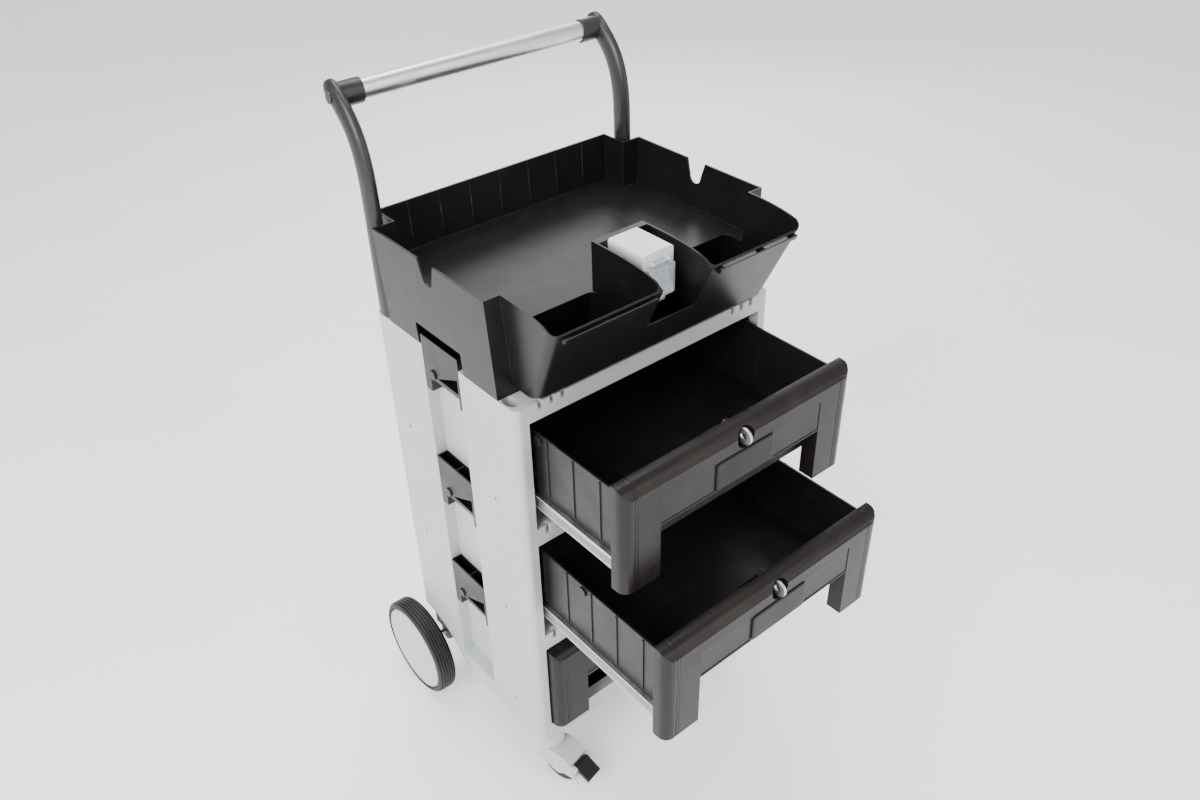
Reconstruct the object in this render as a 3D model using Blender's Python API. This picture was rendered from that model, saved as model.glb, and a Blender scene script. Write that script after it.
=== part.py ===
"""Wheeled detailing trolley: three stacked drawer modules, a storage tray and a push handle.

Metres, +Z up. The front, where the drawers open, faces -Y. Every part is drawn with the body
centred on x = 0, and one empty then moves the whole trolley so that its footprint is centred.
"""
import math

import bmesh
import bpy
from mathutils import Matrix, Vector

# Clearances and wall thicknesses
GAP = 0.0003
WALL = 0.005
THIN = 0.003
OVER = 0.010

# Body modules
HALF_WIDTH = 0.260
FRONT_Y = -0.187
REAR_Y = 0.195
CORNER = 0.012
FLOOR_Z = 0.123
TOP_Z = 0.866
PITCH = 0.238
RAIL_HEIGHT = 0.030
POST_DEPTH = 0.020
BAY_HALF = 0.236
SILL_RISE = 0.004
LOW_SILL_RISE = 0.011
POCKET_TOP = 0.822
COMB_X = (0.174, 0.194, 0.2155)
COMB_DEPTH = 0.012
CHANNEL_Y = (-0.045, 0.057)
CHANNEL_FLOOR = 0.239
CHANNEL_END_Z = 0.165
ARCH_CENTRE = (0.179, 0.058)
ARCH_RADIUS = 0.140
LINER_X = (0.2375, 0.2400)
SEAMS = [TOP_Z, TOP_Z - PITCH, TOP_Z - 2 * PITCH, TOP_Z - 3 * PITCH]
LEVELS = ["upper", "middle", "lower"]
SIDES = ((-1, "left"), (1, "right"))

# Drawers: how far each one stands open, and the sizes they share
DRAWER_OPEN = [0.181, 0.271, 0.0]
DRAWER_LIFT = 0.0125
FRONT_PROUD = 0.020
FRONT_HALF = 0.2335
FRONT_HEIGHT = 0.190
FRONT_DEPTH = 0.028
FRONT_WALL = 0.004
FRONT_SIDE_WALL = 0.010
CORNER_RADIUS = 0.016
CROWN = (0.022, 0.026)
GRIP_HALF = 0.165
GRIP_HEIGHT = 0.097
BOX_HALF = 0.2253
BOX_LENGTH = 0.345
BOX_BASE = 0.050
BOX_TOP = 0.175
RIB_PITCH = 0.059
LOCK_HEIGHT = 0.168
BARREL_RADIUS = 0.009
CAM_OFFSET = 0.041
CAM_REACH = 0.045
SLOT_DEPTH = 0.006
SCOOP_DEPTH = 0.0210
SCOOP_PROFILE = ((-OVER, 0.0195), (0.0, 0.0175), (0.010, 0.0160), (SCOOP_DEPTH, 0.0100))
BOSS_HALF = 0.024
BOSS_LOW = 0.142
KEY_CENTRE = -0.0045
KEY_HALF = (0.0150, 0.0140)
KEY_HOLE = (0.0060, 0.0052)
KEY_THICK = 0.0044
PLATE_HALF = 0.059
PLATE_DEPTH = 0.0030
PLATE_TOP = 0.1490

# Runners beside each drawer
RUNNER_BASE = 0.035
RUNNER_HEIGHT = 0.0275
RUNNER_OUTER = 0.2355
RUNNER_SHEET = 0.0015
RUNNER_PLAY = 0.0005

# Tray
TRAY_TOP_Z = 1.032
TRAY_FLOOR_Z = 0.949
TRAY_HALF_TOP = 0.2685
TRAY_HALF_BASE = 0.2605
TRAY_FRONT_Y = -0.147
TRAY_REAR_TOP_Y = 0.199
TRAY_REAR_BASE_Y = 0.190
TRAY_NOTCH_X = 0.232
TRAY_NOTCH_Y = 0.147
SKIRT_HALF_Y = 0.061
SKIRT_TOP_Z = 0.905
BIN_BASE_Z = 0.880
BIN_FLOOR_Z = 0.884
BIN_HALF = 0.232
BIN_FLARE = 0.0625
BIN_FRONT_Y = -0.1997
BIN_SLOPE = 0.4545
BIN_REAR_Y = -0.107
BIN_LIP_Z = 1.012
RECESS_HALF = 0.047
RECESS_REAR_Y = -0.1205
RECESS_SILL_Z = 0.940

# Handle
ARM_X = 0.250
ARM_Y = 0.171
ARM_HALF_X = 0.011
ARM_HALF_DEPTH = 0.019
ARM_SIDES = 16
SPIGOT_HALF_X = 0.0075
SPIGOT_HALF_Y = 0.0150
SPIGOT_BASE_Z = 0.827
FRONT_SOCKET = (0.2475, -0.158)
FRONT_SOCKET_HALF = (0.0095, 0.0165)
BAR_Y = 0.231
BAR_Z = 1.208
BAR_HALF_Y = 0.0125
BAR_HALF_Z = 0.0165
BAR_SHOW = 0.209
BAR_END = 0.236

# Socket box in the tray's centre recess
BOX_REAR_Y = RECESS_REAR_Y - GAP
BOX_SPLIT_Y = -0.158
BOX_FRONT_Y = -0.197
BOX_HALF_X = 0.030
BOX_LOW_Z = 0.955
BOX_HIGH_Z = 1.034
BOX_SHELL = 0.0025
OUTLET_Z = 0.989
LID_HALF = 0.0255
LID_LOW_Z = 0.962
LID_HINGE_Y = -0.2015
LID_HINGE_Z = 1.0165

# Rear wheels
WHEEL_Y = 0.180
WHEEL_RADIUS = 0.1005
RIM_RADIUS = 0.0877
TYRE_X = (0.2695, 0.3085)
AXLE_RADIUS = 0.006
WHEEL_SIDES = 32

# Front casters: u runs ahead from the swivel axis, w runs across; a heading turns from -Y towards +X
CASTER_X = 0.218
CASTER_Y = -0.155
CASTER_HEADING = {-1: math.radians(13.0), 1: math.radians(-167.0)}
CASTER_TRAIL = 0.030
CASTER_RADIUS = 0.0375
HOOD_RADIUS = 0.0435
HOOD_HALF = 0.0240
WELL_HALF = 0.0185
NECK_TOP_Z = 0.1085
STEM_BASE_Z = 0.0935
STEM_RADIUS = 0.0065
CASTER_PIN = 0.0037
CASTER_SIDES = 24
PEDAL_PIVOT = (0.0700, 0.0600)
PEDAL_PIN = 0.0021

# The footprint runs from the key of the drawer that stands furthest open to the rear tyres
FOREMOST_Y = FRONT_Y - FRONT_PROUD - max(DRAWER_OPEN) - KEY_CENTRE - KEY_HALF[0]
REARMOST_Y = WHEEL_Y + WHEEL_RADIUS
ORIGIN_SHIFT = -(FOREMOST_Y + REARMOST_Y) / 2

PALETTE = {
    "grey_body": ((0.82, 0.84, 0.81, 1.0), 0.42, 0.0),
    "black_tray": ((0.018, 0.018, 0.020, 1.0), 0.45, 0.0),
    "charcoal_drawer": ((0.055, 0.052, 0.052, 1.0), 0.38, 0.0),
    "dark_trim": ((0.010, 0.010, 0.011, 1.0), 0.40, 0.0),
    "handle_arm": ((0.035, 0.036, 0.040, 1.0), 0.36, 0.0),
    "aluminium_bar": ((0.78, 0.79, 0.81, 1.0), 0.28, 1.0),
    "runner_steel": ((0.72, 0.73, 0.74, 1.0), 0.30, 1.0),
    "lock_metal": ((0.62, 0.62, 0.60, 1.0), 0.32, 1.0),
    "white_housing": ((0.90, 0.90, 0.89, 1.0), 0.35, 0.0),
    "clear_lid": ((0.55, 0.60, 0.80, 0.35), 0.10, 0.0),
    "tyre_rubber": ((0.020, 0.020, 0.021, 1.0), 0.62, 0.0),
    "caster_grey": ((0.74, 0.75, 0.74, 1.0), 0.40, 0.0),
}


def material(name):
    """Return the named plastic, metal or rubber, made on first use."""
    found = bpy.data.materials.get(name)
    if found:
        return found
    colour, roughness, metallic = PALETTE[name]
    made = bpy.data.materials.new(name)
    made.use_nodes = True
    shader = made.node_tree.nodes["Principled BSDF"]
    shader.inputs["Base Color"].default_value = colour
    shader.inputs["Roughness"].default_value = roughness
    shader.inputs["Metallic"].default_value = metallic
    return made


def solid(name, points, faces, finish=None):
    """Make an object from points and faces, with its faces turned outwards."""
    mesh = bpy.data.meshes.new(name)
    mesh.from_pydata(points, [], faces)
    work = bmesh.new()
    work.from_mesh(mesh)
    bmesh.ops.recalc_face_normals(work, faces=work.faces)
    work.to_mesh(mesh)
    work.free()
    made = bpy.data.objects.new(name, mesh)
    bpy.context.collection.objects.link(made)
    if finish:
        mesh.materials.append(material(finish))
    return made


def loft(name, rings, finish=None):
    """Skin a row of rings that all have the same number of points, and cap both ends."""
    count = len(rings[0])
    points = [point for ring in rings for point in ring]
    faces = [tuple(range(count)), tuple(range(len(points) - count, len(points)))]
    for row in range(len(rings) - 1):
        for i in range(count):
            j = (i + 1) % count
            low = row * count
            faces.append((low + i, low + j, low + count + j, low + count + i))
    return solid(name, points, faces, finish)


def box(name, low, high, finish=None):
    """A rectangular block between two corners."""
    corners = [(low[0], low[1]), (high[0], low[1]), (high[0], high[1]), (low[0], high[1])]
    return prism(name, corners, low[2], high[2], finish)


def prism(name, outline, z_low, z_high, finish=None):
    """An upright block with an (x, y) outline."""
    rings = [[(x, y, z) for x, y in outline] for z in (z_low, z_high)]
    return loft(name, rings, finish)


def prism_x(name, outline, x_low, x_high, finish=None):
    """A block that runs along X, with a (y, z) outline."""
    rings = [[(x, y, z) for y, z in outline] for x in (x_low, x_high)]
    return loft(name, rings, finish)


def prism_y(name, outline, y_low, y_high, finish=None):
    """A block that runs along Y, with an (x, z) outline."""
    rings = [[(x, y, z) for x, z in outline] for y in (y_low, y_high)]
    return loft(name, rings, finish)


def circle(centre, radius, count):
    """Points of a circle in two coordinates."""
    angles = [2 * math.pi * i / count for i in range(count)]
    return [(centre[0] + radius * math.cos(a), centre[1] + radius * math.sin(a)) for a in angles]


def oval(centre, half_u, half_v, count):
    """Points of an ellipse in two coordinates."""
    angles = [2 * math.pi * i / count for i in range(count)]
    return [(centre[0] + half_u * math.cos(a), centre[1] + half_v * math.sin(a)) for a in angles]


def rounded(low, high, radius, steps=4):
    """Outline of a rectangle with round corners."""
    centres = [
        (high[0] - radius, high[1] - radius, 0),
        (low[0] + radius, high[1] - radius, 90),
        (low[0] + radius, low[1] + radius, 180),
        (high[0] - radius, low[1] + radius, 270),
    ]
    outline = []
    for x, y, start in centres:
        for step in range(steps + 1):
            angle = math.radians(start + 90 * step / steps)
            outline.append((x + radius * math.cos(angle), y + radius * math.sin(angle)))
    return outline


def turned(name, profile, centre, axis, count, finish=None):
    """Turn a closed profile of (radius, height) points, clear of the axis, about that axis."""
    turn = Vector((0, 0, 1)).rotation_difference(Vector(axis)).to_matrix()
    points = []
    for radius, height in profile:
        for x, y in circle((0, 0), radius, count):
            points.append(tuple(turn @ Vector((x, y, height)) + Vector(centre)))
    rows = len(profile)
    faces = []
    for row in range(rows):
        above = (row + 1) % rows
        for i in range(count):
            j = (i + 1) % count
            faces.append((row * count + i, row * count + j, above * count + j, above * count + i))
    return solid(name, points, faces, finish)


def cone(name, start, end, profile, count, finish=None):
    """A solid turned about the line from start to end; profile is (radius, share of the length)."""
    start, end = Vector(start), Vector(end)
    turn = Vector((0, 0, 1)).rotation_difference(end - start).to_matrix()
    rings = []
    for radius, share in profile:
        centre = start.lerp(end, share)
        rings.append([tuple(turn @ Vector((x, y, 0)) + centre) for x, y in circle((0, 0), radius, count)])
    return loft(name, rings, finish)


def rod(name, start, end, radius, count, finish=None):
    """A round rod between two points."""
    return cone(name, start, end, [(radius, 0.0), (radius, 1.0)], count, finish)


def tube_x(name, outer, inner, x_low, x_high, finish=None):
    """A tube that runs along X, between two (y, z) outlines with as many points each."""
    count = len(outer)
    loops = [(x_low, outer), (x_high, outer), (x_high, inner), (x_low, inner)]
    points = [(x, y, z) for x, outline in loops for y, z in outline]
    faces = []
    for row in range(4):
        above = (row + 1) % 4
        for i in range(count):
            j = (i + 1) % count
            faces.append((row * count + i, row * count + j, above * count + j, above * count + i))
    return solid(name, points, faces, finish)


def span(side, near, far):
    """Two distances from the middle as low and high x on one side."""
    return sorted((side * near, side * far))


def combine(target, others, operation):
    """Cut others from target, or unite them with it."""
    for other in others:
        modifier = target.modifiers.new(other.name, "BOOLEAN")
        modifier.operation = operation
        modifier.object = other
        modifier.solver = "EXACT"
        other.hide_render = True
        other.display_type = "WIRE"
    return target


def cut(target, *cutters):
    """Cut away each cutter."""
    return combine(target, cutters, "DIFFERENCE")


def unite(target, *others):
    """Add each piece to the target, as one body."""
    return combine(target, others, "UNION")


def set_origin(target, point):
    """Move an object's origin to a point on its joint's axis, leaving its shape in place."""
    target.data.transform(Matrix.Translation(-Vector(point)))
    target.location = point
    return target


def group(name, members):
    """Put several separate solids into one object, to cut with or to unite in one step."""
    work = bmesh.new()
    for member in members:
        work.from_mesh(member.data)
        bpy.data.objects.remove(member)
    mesh = bpy.data.meshes.new(name)
    work.to_mesh(mesh)
    work.free()
    made = bpy.data.objects.new(name, mesh)
    bpy.context.collection.objects.link(made)
    return made


def round_shading():
    """Shade curved surfaces smooth and leave real edges sharp."""
    for mesh in bpy.data.meshes:
        mesh.shade_smooth()
        mesh.set_sharp_from_angle(angle=math.radians(35))


# ---------------------------------------------------------------- body


def body_module(index):
    """One hollow module: side walls with a channel, a rear wall, a deck and a front frame."""
    top = SEAMS[index] - (GAP if index else 0.0)
    last = index == len(LEVELS) - 1
    base = FLOOR_Z if last else SEAMS[index + 1]
    sill = SEAMS[index + 1] + (LOW_SILL_RISE if last else SILL_RISE)
    name = "body_module_" + LEVELS[index]
    outline = rounded((-HALF_WIDTH, FRONT_Y), (HALF_WIDTH, REAR_Y), CORNER)
    shell = prism(name, outline, base, top, "grey_body")
    inner_front, inner_rear = FRONT_Y + POST_DEPTH, REAR_Y - WALL
    deck = top - WALL
    cut(shell, box(name + "_bay", (-BAY_HALF, inner_front, base - OVER), (BAY_HALF, inner_rear, deck)))
    cut(shell, box(name + "_mouth", (-BAY_HALF, FRONT_Y - OVER, sill),
                   (BAY_HALF, inner_front + 0.001, top - RAIL_HEIGHT)))
    pockets = []
    pocket_top = POCKET_TOP if index == 0 else deck
    for side, _ in SIDES:
        ends = span(side, BAY_HALF - 0.001, HALF_WIDTH - WALL)
        for low_y, high_y in ((inner_front, CHANNEL_Y[0] - WALL), (CHANNEL_Y[1] + WALL, inner_rear)):
            pockets.append(box("pocket", (ends[0], low_y, base - OVER), (ends[1], high_y, pocket_top)))
    cut(shell, group(name + "_pockets", pockets))
    channels = []
    for side, _ in SIDES:
        ends = span(side, CHANNEL_FLOOR, HALF_WIDTH + OVER)
        low_z = CHANNEL_END_Z if last else base - OVER
        channels.append(box("channel", (ends[0], CHANNEL_Y[0], low_z), (ends[1], CHANNEL_Y[1], top + OVER)))
    cut(shell, group(name + "_channels", channels))
    cut(shell, comb_notches(name + "_top_comb", SEAMS[index]))
    if last:
        arches = [prism_x("arch", circle(ARCH_CENTRE, ARCH_RADIUS, 40),
                          *span(side, LINER_X[1] + 0.0005, HALF_WIDTH + OVER)) for side, _ in SIDES]
        cut(shell, group(name + "_arches", arches))
    else:
        cut(shell, comb_notches(name + "_sill_comb", SEAMS[index + 1]))
    if index == 0:
        cut(shell, corner_sockets(name + "_sockets"))
    return unite(shell, fixed_runners(name + "_runners", SEAMS[index + 1]))


def comb_notches(name, seam):
    """Cutter for the locating notches at both ends of a front bar."""
    members = []
    for side, _ in SIDES:
        for x in COMB_X:
            ends = span(side, x - 0.004, x + 0.004)
            members.append(box("notch", (ends[0], FRONT_Y - OVER, seam - COMB_DEPTH),
                               (ends[1], FRONT_Y + 0.010, seam + OVER)))
    return group(name, members)


def corner_sockets(name):
    """Cutter for the oval sockets in the four top corners."""
    members = []
    for side, _ in SIDES:
        front = oval((side * FRONT_SOCKET[0], FRONT_SOCKET[1]), FRONT_SOCKET_HALF[0], FRONT_SOCKET_HALF[1],
                     20)
        rear = oval((side * ARM_X, ARM_Y), SPIGOT_HALF_X + GAP, SPIGOT_HALF_Y + GAP, ARM_SIDES)
        for outline in (front, rear):
            members.append(prism("socket", outline, SPIGOT_BASE_Z - GAP, TOP_Z + OVER))
    return group(name, members)


def side_bracket(name, side, seam):
    """A moulded clip that sits in the side channel and ties what is above a seam to what is below."""
    near, far = CHANNEL_FLOOR + GAP, HALF_WIDTH
    low_y, high_y = CHANNEL_Y[0] + GAP, CHANNEL_Y[1] - GAP
    top = seam + 0.0195
    bar_z, foot_z, tail_z = top - 0.074, top - 0.100, top - 0.094
    outline = [(low_y, top), (high_y, top), (high_y, foot_z), (0.040, foot_z), (0.040, bar_z),
               (low_y + 0.006, bar_z), (low_y + 0.006, tail_z), (low_y, tail_z)]
    clip = prism_x(name, outline, *span(side, near, far), "dark_trim")
    knob_z = top - 0.0645
    unite(clip,
          rod(name + "_knob", (side * (far - 0.004), 0.031, knob_z), (side * (far + 0.003), 0.031, knob_z),
                    0.0085, 20))
    ends = span(side, near + 0.002, far - 0.0025)
    pockets = [box("pocket", (ends[0], low_y + 0.0025, top - 0.034), (ends[1], 0.001, top + OVER)),
               box("pocket", (ends[0], 0.003, top - 0.034), (ends[1], high_y - 0.0025, top + OVER))]
    cut(clip, group(name + "_pockets", pockets))
    window = [(low_y + 0.006, top - 0.040), (low_y + 0.006, top - 0.066), (0.018, top - 0.066)]
    cut(clip, prism_x(name + "_window", window, *span(side, near - OVER, far + OVER)))
    hollow = [(0.044, top - 0.096), (0.053, top - 0.096), (0.053, top - 0.040), (0.044, top - 0.040)]
    cut(clip, prism_x(name + "_hollow", hollow, *span(side, near - OVER, far - 0.0025)))
    return clip


def chassis():
    """The black base: a hollow deck inside the lower module's skirt, arch liners and axle lugs."""
    half = BAY_HALF - 0.0015
    low_y, high_y = FRONT_Y + POST_DEPTH + GAP, REAR_Y - WALL - GAP
    deck_top = SEAMS[3] - 0.002
    deck = box("chassis", (-half, low_y, FLOOR_Z), (half, high_y, deck_top), "dark_trim")
    hollows = []
    cells = 3
    rib = 0.006
    cell_width = (2 * half - (cells + 1) * rib) / cells
    for cell in range(cells):
        start = -half + rib + cell * (cell_width + rib)
        hollows.append(box("cell", (start, low_y + rib, FLOOR_Z - OVER),
                           (start + cell_width, high_y - 0.070, deck_top - THIN)))
    for side, _ in SIDES:
        low_liner_y = CHANNEL_Y[1] + WALL + GAP
        ends = span(side, *LINER_X)
        unite(deck, box("chassis_liner", (ends[0], low_liner_y, FLOOR_Z + 0.001), (ends[1], high_y, 0.203)))
        ends = span(side, half - 0.002, LINER_X[1] - 0.0005)
        unite(deck, box("chassis_foot", (ends[0], low_liner_y + 0.001, FLOOR_Z + 0.002),
                        (ends[1], high_y - 0.001, deck_top - 0.001)))
        lug = [(WHEEL_Y - 0.052, FLOOR_Z + 0.004), (WHEEL_Y - 0.016, WHEEL_RADIUS - 0.012),
               (WHEEL_Y - 0.008, WHEEL_RADIUS - 0.018), (WHEEL_Y + 0.004, WHEEL_RADIUS - 0.018),
               (WHEEL_Y + 0.0095, WHEEL_RADIUS - 0.012), (WHEEL_Y + 0.0095, FLOOR_Z + 0.004)]
        unite(deck, prism_x("chassis_lug", lug, *span(side, half - 0.018, half - 0.001)))
    cut(deck, group("chassis_cells", hollows))
    ends = [(x, WHEEL_Y, WHEEL_RADIUS) for x in (-HALF_WIDTH, HALF_WIDTH)]
    return cut(deck, rod("chassis_bore", *ends, AXLE_RADIUS + GAP, 16))


# ---------------------------------------------------------------- tray


def bin_half(z):
    """Half width of the bins' outer walls at a height."""
    return BIN_HALF + (z - BIN_BASE_Z) * BIN_FLARE


def bin_front(z):
    """Y of the bins' sloping front at a height."""
    return BIN_FRONT_Y - (z - BIN_BASE_Z) * BIN_SLOPE


def tray_plan(z, inset, front):
    """Plan of the main tray at a height, with its rear corners cut back for the handle arms."""
    share = (z - TOP_Z) / (TRAY_TOP_Z - TOP_Z)
    half = TRAY_HALF_BASE + (TRAY_HALF_TOP - TRAY_HALF_BASE) * share - inset
    rear = TRAY_REAR_BASE_Y + (TRAY_REAR_TOP_Y - TRAY_REAR_BASE_Y) * share - inset
    notch_x, notch_y = TRAY_NOTCH_X - inset, TRAY_NOTCH_Y - inset
    right = [(half, front), (half, notch_y), (notch_x, notch_y), (notch_x, rear)]
    return right + [(-x, y) for x, y in reversed(right)]


def taper(name, low_plan, high_plan, z_low, z_high, finish=None):
    """A block whose plan changes evenly from its base to its top."""
    rings = [[(x, y, z_low) for x, y in low_plan], [(x, y, z_high) for x, y in high_plan]]
    return loft(name, rings, finish)


def bin_plan(z, inset, side=0):
    """Plan of the whole front block, or of one bin's hollow when a side is given."""
    half, front = bin_half(z) - inset, bin_front(z) + inset * 1.1
    if side == 0:
        return rounded((-half, front), (half, BIN_REAR_Y + THIN), 0.018)
    ends = span(side, RECESS_HALF + THIN, half)
    return rounded((ends[0], front), (ends[1], BIN_REAR_Y), 0.010)


def rim_cutter():
    """Cutter above the bins' rim, which falls in a curve from the side walls to the lip."""
    lip_y, reach = bin_front(BIN_LIP_Z), 0.05
    outline = [(lip_y - reach, TRAY_TOP_Z + OVER), (TRAY_FRONT_Y, TRAY_TOP_Z + OVER)]
    steps = 8
    for step in range(steps + 1):
        share = step / steps
        y = TRAY_FRONT_Y + (lip_y - TRAY_FRONT_Y) * share
        outline.append((y, TRAY_TOP_Z - (TRAY_TOP_Z - BIN_LIP_Z) * (1 - math.sqrt(1 - share * share))))
    outline.append((lip_y - reach, BIN_LIP_Z - 0.002))
    return prism_x("top_tray_rim", outline, -0.3, 0.3)


def rest_notches():
    """Cutter for the U-shaped rests in the tops of the side walls."""
    radius, depth, half_top = 0.013, 0.040, 0.021
    outline = [(half_top, TRAY_TOP_Z + OVER), (half_top, TRAY_TOP_Z)]
    steps = 10
    for step in range(steps + 1):
        angle = -math.pi * step / steps
        outline.append((radius * math.cos(angle), TRAY_TOP_Z - depth + radius + radius * math.sin(angle)))
    outline += [(-half_top, TRAY_TOP_Z), (-half_top, TRAY_TOP_Z + OVER)]
    members = [prism_x("rest", outline, *span(side, 0.24, 0.28)) for side, _ in SIDES]
    return group("top_tray_rests", members)


def well_cutter():
    """Cutter for the main well, which wraps behind the centre recess."""
    inner = RECESS_HALF + THIN
    rings = []
    for z in (TRAY_FLOOR_Z, TRAY_TOP_Z + OVER):
        plan = tray_plan(min(z, TRAY_TOP_Z), THIN, TRAY_FRONT_Y + THIN)
        plan += [(-inner, TRAY_FRONT_Y + THIN), (-inner, BIN_REAR_Y), (inner, BIN_REAR_Y),
                 (inner, TRAY_FRONT_Y + THIN)]
        rings.append([(x, y, z) for x, y in plan])
    return loft("top_tray_well", rings)


def recess_cutters():
    """Cutters for the open-fronted centre recess and for the hollow in the ledge behind it."""
    deep = box("top_tray_recess", (-RECESS_HALF, bin_front(TRAY_TOP_Z) - OVER, RECESS_SILL_Z),
               (RECESS_HALF, RECESS_REAR_Y, TRAY_TOP_Z + OVER))
    plans = []
    for z in (BIN_FLOOR_Z, RECESS_SILL_Z + 0.001):
        front = bin_front(z) + THIN * 1.1
        plans.append([(-RECESS_HALF, front), (RECESS_HALF, front), (RECESS_HALF, RECESS_REAR_Y),
                      (-RECESS_HALF, RECESS_REAR_Y)])
    foot = taper("top_tray_recess_foot", plans[0], plans[1], BIN_FLOOR_Z, RECESS_SILL_Z + 0.001)
    ledge = box("top_tray_ledge", (-RECESS_HALF + THIN, RECESS_REAR_Y + THIN, BIN_BASE_Z - OVER),
                (RECESS_HALF - THIN, BIN_REAR_Y - THIN, TRAY_TOP_Z - THIN))
    return deep, foot, ledge


def tray():
    """The black tray: a deep rear well, two front bins and a recess for the socket box."""
    base = TOP_Z + GAP
    main = taper("top_tray", tray_plan(TOP_Z, 0.0, TRAY_FRONT_Y), tray_plan(TRAY_TOP_Z, 0.0, TRAY_FRONT_Y),
                 base, TRAY_TOP_Z, "black_tray")
    unite(main,
          taper("top_tray_front", bin_plan(BIN_BASE_Z, 0.0), bin_plan(TRAY_TOP_Z, 0.0), BIN_BASE_Z,
                TRAY_TOP_Z))
    cut(main, rim_cutter(), well_cutter())
    bins = [taper("bin", bin_plan(BIN_FLOOR_Z, THIN, side), bin_plan(TRAY_TOP_Z + OVER, THIN, side),
                  BIN_FLOOR_Z,
                  TRAY_TOP_Z + OVER) for side, _ in SIDES]
    cut(main, group("top_tray_bins", bins), rest_notches(), *recess_cutters())
    under_plan = tray_plan(TOP_Z, THIN, BIN_REAR_Y + THIN)
    cut(main, prism("top_tray_under", under_plan, base - OVER, TRAY_FLOOR_Z - THIN))
    front_low = TRAY_FRONT_Y + THIN
    half = TRAY_HALF_BASE - THIN
    cut(main,
        box("top_tray_under_bins", (-half, front_low, base - OVER),
            (half, BIN_REAR_Y + THIN + 0.001, BIN_BASE_Z)))
    cheeks, skirts = [], []
    for side, _ in SIDES:
        ends = span(side, bin_half(TRAY_FLOOR_Z) + 0.001, half)
        cheeks.append(box("cheek", (ends[0], front_low, BIN_BASE_Z - 0.002),
                          (ends[1], BIN_REAR_Y + THIN + 0.001, TRAY_FLOOR_Z - THIN)))
        ends = span(side, half - 0.006, half + 0.02)
        skirts.append(box("skirt", (ends[0], -SKIRT_HALF_Y, base - OVER),
                          (ends[1], SKIRT_HALF_Y, SKIRT_TOP_Z)))
    return cut(main, group("top_tray_cheeks", cheeks), group("top_tray_skirts", skirts))


def label_rail(name, side):
    """The rail that clips to a bin's front lip, standing off on three tabs."""
    low_z, high_z = BIN_LIP_Z - 0.012, BIN_LIP_Z - 0.004
    tab_half, near, far = 0.005, 0.0048, 0.0078
    tabs = sorted(side * x for x in (0.065, 0.150, 0.218))
    outline = [(tabs[0] - tab_half, far), (tabs[0] - tab_half, GAP)]
    for x, following in zip(tabs, tabs[1:]):
        outline += [(x + tab_half, GAP), (x + tab_half, near), (following - tab_half, near),
                    (following - tab_half, GAP)]
    outline += [(tabs[-1] + tab_half, GAP), (tabs[-1] + tab_half, far)]
    rings = [[(x, bin_front(z) - ahead, z) for x, ahead in outline] for z in (low_z, high_z)]
    return loft(name, rings, "black_tray")


# ---------------------------------------------------------------- handle


def arm_line():
    """Centre line of an arm in (y, z): straight up from the body, then swept back to the bar."""
    knots = ((ARM_Y, 1.060), (ARM_Y, 1.150), (BAR_Y - 0.040, BAR_Z - 0.030), (BAR_Y + 0.006, BAR_Z + 0.005))
    line = [(ARM_Y, TOP_Z + 0.001), (ARM_Y, 0.960)]
    steps = 9
    for step in range(steps + 1):
        t = step / steps
        weights = ((1 - t) ** 3, 3 * t * (1 - t) ** 2, 3 * t * t * (1 - t), t ** 3)
        line.append(tuple(sum(w * knot[k] for w, knot in zip(weights, knots)) for k in (0, 1)))
    return line


def handle_arm(name, side):
    """One oval arm with a spigot below, a rounded end above and a sleeve that takes the bar."""
    rings = []
    for z in (SPIGOT_BASE_Z, TOP_Z + 0.001):
        outline = oval((side * ARM_X, ARM_Y), SPIGOT_HALF_X, SPIGOT_HALF_Y, ARM_SIDES)
        rings.append([(x, y, z) for x, y in outline])
    line = arm_line()
    (before_y, before_z), (last_y, last_z) = line[-2:]
    length = math.hypot(last_y - before_y, last_z - before_z)
    ahead = ((last_y - before_y) / length, (last_z - before_z) / length)
    sections = [(y, z, 1.0) for y, z in line]
    for angle in (30, 55, 75):
        reach = ARM_HALF_DEPTH * math.sin(math.radians(angle))
        sections.append((last_y + ahead[0] * reach, last_z + ahead[1] * reach,
                         math.cos(math.radians(angle))))
    for i, (y, z, share) in enumerate(sections):
        low, high = sections[max(i - 1, 0)], sections[min(i + 1, len(sections) - 1)]
        heading = math.atan2(high[1] - low[1], high[0] - low[0])
        across = (math.sin(heading), -math.cos(heading))
        ring = []
        for u, v in oval((0, 0), ARM_HALF_X * (0.35 + 0.65 * share), ARM_HALF_DEPTH * share, ARM_SIDES):
            ring.append((side * ARM_X + u, y + across[0] * v, z + across[1] * v))
        rings.append(ring)
    arm = loft(name, rings, "handle_arm")
    outer = ARM_X + ARM_HALF_X
    unite(arm, prism_x(name + "_sleeve", bar_section(0.003), *span(side, BAR_SHOW, ARM_X)))
    unite(arm,
          prism_x(name + "_boss", oval((BAR_Y, BAR_Z), 0.0085, 0.0095, 12),
                  *span(side, ARM_X, outer + 0.0015)))
    return cut(arm, prism_x(name + "_bore", bar_section(GAP), *span(side, BAR_SHOW - OVER, BAR_END + GAP)))


def bar_section(grow):
    """Outline in (y, z) of the handle bar, or of what fits round it."""
    return oval((BAR_Y, BAR_Z), BAR_HALF_Y + grow, BAR_HALF_Z + grow, 20)


def handle_bar():
    """The aluminium grip tube."""
    return tube_x("handle_bar", bar_section(0.0), bar_section(-0.002), -BAR_END, BAR_END, "aluminium_bar")


# ---------------------------------------------------------------- socket box


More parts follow.
